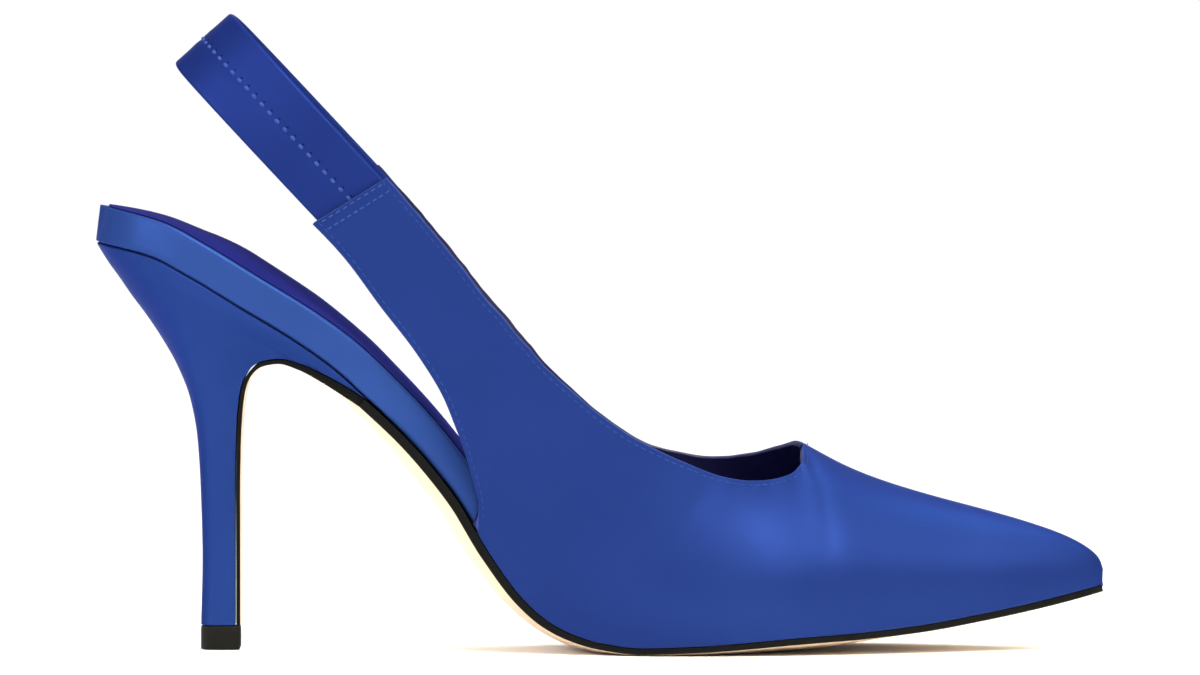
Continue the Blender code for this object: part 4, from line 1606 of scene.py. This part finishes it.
@dataclass
class Bottom:
    """The leather outsole with its painted edge, the heel and the top lift."""

    finishes: Finishes
    sole_inset: float = 0.0004
    edge_inset: float = 0.15
    edge_square: float = 0.60
    edge_round: Range = (0.04, 0.85)
    flap_wall: float = 0.0010
    flap_levels: Range = (0.5, 4.5)
    stem_levels: Range = (3, 9)
    stem_width: float = 0.0106
    heel_round: float = 0.45
    heel_edge: float = 0.00075
    lip_levels: Sequence[float] = (0.0, 0.04, 0.09, 0.15)
    roll_level: float = 0.22
    round_power: float = 2.2
    lift_height: float = 0.0056
    lift_rings: Sequence[Range] = (
        (0.965, 0.0), (0.99, 0.0003), (1.0, 0.0006), (1.0, 0.0049), (0.992, 0.0053), (0.975, 0.0056))
    sole_end: float = 0.0012
    steps: int = 200
    flap_steps: int = 90
    heel_across: int = 34
    heel_steps: int = 110

    def heel_point(self, level: np.ndarray, end: End) -> tuple[np.ndarray, np.ndarray]:
        """Back or front points of the heel's outline in the side view.

        Args:
            level: The levels.
            end: The end.

        Returns:
            Distances from the heel's back, and heights.
        """
        along = HEEL.at(level, end.value + "_along") * LAST.length
        return along, HEEL.at(level, end.value + "_rise") * LAST.heel_height

    def heel_front(self, level: np.ndarray) -> tuple[np.ndarray, np.ndarray]:
        """The middle of the heel's front edge: under the insole at the lip, then down the front face.

        Args:
            level: The levels.

        Returns:
            Distances from the heel's back, and heights.
        """
        along, height = self.heel_point(level, End.FRONT)
        lip_along, lip_height = self.heel_point(np.array(0.0), End.FRONT)
        lip = LAST.feather_line(np.atleast_1d(lip_along))
        under = lip.height - LAST.gap / lip.normal_height
        return along, height + (under - lip_height) * HEEL.at(level, "seat")

    def heel_width(self, level: np.ndarray) -> np.ndarray:
        """Width that the heel's shares refer to: the seat's at the top, the stem's lower down.

        Args:
            level: The levels.

        Returns:
            The widths.
        """
        stem = self.stem_width / (2 * HEEL.at(np.array(float(LEVELS)), "half"))
        return LAST.seat_width + (stem - LAST.seat_width) * fade(level, *self.stem_levels)

    def build_outsole(self) -> bpy.types.Object:
        """Builds the sole: a painted edge, a bulging tan bottom, and a flap down the heel's front.

        Returns:
            The piece.
        """
        lip = float(HEEL.at(np.array(0.0), "front_along")) * LAST.length
        along = stations(lip, LAST.length - self.sole_inset, self.steps)[::-1]
        line = LAST.feather_line(along)
        gap = LAST.gap * (2 - fade(along, lip, lip + 0.05 * LAST.length))
        half = np.maximum(LAST.drawn_in(along, np.array(self.sole_inset)), self.sole_end)
        level = LEVELS * np.arange(1, self.flap_steps + 1) / self.flap_steps
        flap_along, flap_height = self.heel_front(level)
        before = self.heel_front(np.maximum(level - 0.2, 0))
        after = self.heel_front(np.minimum(level + 0.2, LEVELS))
        run_along, run_height = before[0] - after[0], before[1] - after[1]
        size = np.hypot(run_along, run_height)
        line = Line(*(np.concatenate(pair) for pair in zip(
            line, (flap_along, flap_height, -run_height / size, run_along / size))))
        gap = np.concatenate([gap, np.full_like(level, LAST.gap)])
        flap_half = HEEL.at(level, "front") * self.heel_width(level) - self.sole_inset
        half = np.concatenate([half, flap_half])
        edge = SOLE.at(line.along / LAST.length, "edge") * LAST.sole_edge
        edge[len(along):] += (self.flap_wall - edge[len(along):]) * fade(level, *self.flap_levels)
        crown = SOLE.at(line.along / LAST.length, "crown") * LAST.sole_crown
        side = np.linspace(1, -1, 33)
        inward, downward = self.edge_round
        corner, corner_height = half - inward * edge, -gap - downward * edge
        square = -gap - self.edge_square * edge
        wide = [-half, half, half, corner]
        high = [-gap, -gap, square, corner_height]
        for share in side:
            wide.append((half - self.edge_inset * edge) * share)
            high.append(-gap - edge - crown * (1 - abs(share) ** self.round_power))
        wide += [-corner, -half]
        high += [corner_height, square]
        widths, heights = np.stack(wide, axis=1), np.stack(high, axis=1)
        loops = across(line, LAST.shift(line.along), widths, heights)
        loops[..., 2] = np.maximum(loops[..., 2], 0.0)
        loops[-1, :, 2] = self.lift_height + LAST.gap
        count = loops.shape[1]
        bottom = range(4, 4 + len(side) - 1)
        parts = [Part.INSIDE if k in bottom else Part.OUTSIDE for k in range(count)]
        finishes = (self.finishes.paint, self.finishes.leather)
        return dress_loft("outsole_leather", loops, finishes, "sole_leather", "outsole", parts)

    def heel_outline(self, level: np.ndarray) -> np.ndarray:
        """Closed outlines of the heel, one for each level.

        Args:
            level: The levels.

        Returns:
            Places, a row for each level, round from the back along the outer side and back again.
        """
        share = 1 - np.cos(math.pi / 2 * np.linspace(0, 1, self.heel_across + 1))[None, :]
        back_along, back_height = (value[:, None] for value in self.heel_point(level, End.BACK))
        front_along, front_height = (value[:, None] for value in self.heel_point(level, End.FRONT))
        seat = HEEL.at(level, "seat")[:, None]
        half, corner = HEEL.at(level, "half")[:, None], HEEL.at(level, "front")[:, None]
        start_along, start_height = self.heel_point(np.array(0.0), End.BACK)
        end_along, end_height = self.heel_point(np.array(0.0), End.FRONT)
        along = back_along + (front_along - back_along) * share
        height = back_height + (front_height - back_height) * share
        top_along = (start_along + (end_along - start_along) * share)[0]
        line = LAST.feather_line(top_along)
        under = line.height - LAST.gap / line.normal_height
        arch = under - (start_height + (end_height - start_height) * share[0])
        round_back = np.sqrt(1 - (1 - np.minimum(share / self.heel_round, 1.0)) ** self.round_power)
        late = np.maximum((share - self.heel_round) / (1 - self.heel_round), 0.0)
        flank = 1 - (1 - corner / half) * late ** 2
        plain = half * self.heel_width(level)[:, None] * round_back * flank
        rolled = self.heel_edge * np.maximum(1 - level / self.roll_level, 0.0)[:, None] ** 2
        width = plain + (LAST.insole_half(top_along)[None, :] - plain) * seat ** 2
        width = np.maximum(width - rolled, width * 0.5)
        along = along + rolled * (1 - share)
        shift = LAST.shift(top_along)[None, :] * seat
        outer = np.stack([along, shift - width, height + arch * seat], axis=-1)
        inner = np.stack([along, shift + width, height + arch * seat], axis=-1)
        return np.concatenate([outer, inner[:, ::-1]], axis=1)

    def build_heel(self) -> bpy.types.Object:
        """Builds the wrapped stiletto heel.

        Returns:
            The piece.
        """
        level = np.concatenate([self.lip_levels, np.linspace(self.roll_level, LEVELS, self.heel_steps)])
        outline = self.heel_outline(level)
        outline[-1, :, 2] = self.lift_height + LAST.gap
        mesh = Mesh()
        numbers = mesh.add_points(outline, cloth_uvs(outline))
        mesh.add_grid(numbers, closed=True)
        count = self.heel_across + 1
        for row in (numbers[0], numbers[-1]):
            mesh.add_grid(np.stack([row[:count], row[count:][::-1]]))
        # The heel takes the lighter satin, a painted highlight.
        return dress(mesh.piece("heel_satin", [self.finishes.heel.material()]), "heel_satin", "heel")

    def build_lift(self) -> bpy.types.Object:
        """Builds the rubber top lift.

        Returns:
            The piece.
        """
        outline = self.heel_outline(np.array([float(LEVELS)]))[0]
        count = self.heel_across + 1
        outer, inner = outline[:count], outline[count:]
        front = outer[-1, 0] + LAST.gap + self.flap_wall
        corners = np.array([[front, outer[-1, 1], 0.0], [front, inner[0, 1], 0.0]])
        ring = np.concatenate([outer, corners, inner[:-1]])
        middle = ring.mean(axis=0)
        loops = np.array([middle + (ring - middle) * size for size, _ in self.lift_rings])
        loops[..., 2] = np.array([height for _, height in self.lift_rings])[:, None]
        return dress_loft("top_lift_rubber", loops, [self.finishes.rubber], "lift_rubber", "top_lift")


def looking(direction: Vector) -> Euler:
    """The turn of a lamp or a camera that looks in a direction."""
    return direction.to_track_quat("-Z", "Y").to_euler()


class Softbox(NamedTuple):
    """A soft square light that looks at the shoe: sizes in metres, power in watts, spread in degrees."""

    name: str
    place: Place
    size: float
    power: float
    target: Place = (0.0, 0.0, 0.06)
    spread: float = 180.0
    colour: Colour = (1.0, 1.0, 1.0)

    def build(self) -> None:
        """Makes the light."""
        light = bpy.data.lights.new(self.name, "AREA")
        light.size = self.size
        light.energy = self.power
        light.color = self.colour
        light.spread = math.radians(self.spread)
        lamp = put(self.name, light)
        lamp.location = self.place
        lamp.rotation_euler = looking(Vector(self.target) - Vector(self.place))


SOFTBOXES = (
    Softbox("key", (0.45, -0.95, 1.65), 1.3, 20.0),
    Softbox("fill", (-1.3, -0.9, 0.8), 0.8, 8.0),
    Softbox("vamp_box", (0.36, -0.76, 1.00), 0.8, 1.95, (0.050, -0.02, 0.025), 40.0, (0.95, 1.0, 0.75)),
    Softbox("ridge_box", (0.30, 0.38, 1.12), 0.2, 0.08, (0.075, -0.005, 0.035), 10.0, (1.0, 1.0, 0.60)),
    Softbox("heel_box", (-0.75, -0.75, 0.45), 0.3, 0.030, (-0.100, -0.02, 0.085), 12.0),
)


@dataclass
class Studio:
    """The pale floor, the soft lights and the camera."""

    floor_size: float = 200.0
    floor_drop: float = 0.0002
    floor_colour: Colour = (0.94, 0.94, 0.94)
    world_strength: float = 0.72
    sky_strength: float = 1.25
    sky_angle: float = 60.0
    sky_from: Place = (0.15, 0.40, 0.90)
    distance: float = 3.0
    eye_height: float = 0.165
    aim_height: float = 0.0757
    lens: float = 370.1
    sight: float = 500.0

    def build_floor(self) -> None:
        """Makes the floor."""
        mesh = bpy.data.meshes.new("floor")
        size = self.floor_size
        corners = [(-size, -size, 0), (size, -size, 0), (size, size, 0), (-size, size, 0)]
        mesh.from_pydata(corners, [], [(0, 1, 2, 3)])
        shader = Shader("pale_floor", {"Roughness": 0.9, "Specular IOR Level": 0.1,
                                       "Base Color": (*self.floor_colour, 1.0)})
        mesh.materials.append(shader.material)
        floor = put("floor", mesh)
        floor.location.z = -self.floor_drop

    def build_lights(self) -> None:
        """Makes the bright surroundings and the soft lights."""
        world = bpy.data.worlds.new("studio")
        bpy.context.scene.world = world
        world.use_nodes = True
        background = world.node_tree.nodes["Background"]
        background.inputs["Color"].default_value = (1.0, 1.0, 1.0, 1.0)
        background.inputs["Strength"].default_value = self.world_strength
        for softbox in SOFTBOXES:
            softbox.build()
        sky = bpy.data.lights.new("sky", "SUN")
        sky.energy = self.sky_strength
        sky.angle = math.radians(self.sky_angle)
        put("sky", sky).rotation_euler = looking(-Vector(self.sky_from))

    def build_camera(self) -> None:
        """Makes the camera at the photograph's angle."""
        lens = bpy.data.cameras.new("photo_angle")
        lens.lens = self.lens
        lens.clip_end = self.sight
        camera = put("photo_angle", lens)
        camera.location = (0.0, -self.distance, self.eye_height)
        camera.rotation_euler = looking(Vector((0.0, 0.0, self.aim_height)) - camera.location)
        bpy.context.scene.camera = camera

    def build(self) -> None:
        """Makes everything round the shoe."""
        self.build_floor()
        self.build_lights()
        self.build_camera()
        bpy.context.scene.view_settings.view_transform = "Standard"


def main() -> None:
    """Builds the studio and the shoe in order."""
    logging.basicConfig(level=logging.INFO, format="%(message)s")
    Studio().build()
    finishes = Finishes()
    foot_bed = FootBed(finishes)
    foot_bed.build_insole()
    foot_bed.build_sock()
    bottom = Bottom(finishes)
    bottom.build_outsole()
    bottom.build_heel()
    bottom.build_lift()
    upper = Upper(finishes)
    upper.build()
    strap = SlingStrap(finishes, upper)
    strap.build()
    thread = Mesh()
    upper.stitch(thread)
    strap.stitch(thread)
    # The second material is the painted shade beside the strap's stitches.
    sewn = [finishes.thread.material(), finishes.stitch_painted_shade.material()]
    dress(thread.piece("stitches", sewn, sharp=180.0), "satin")


if __name__ == "__main__":
    main()
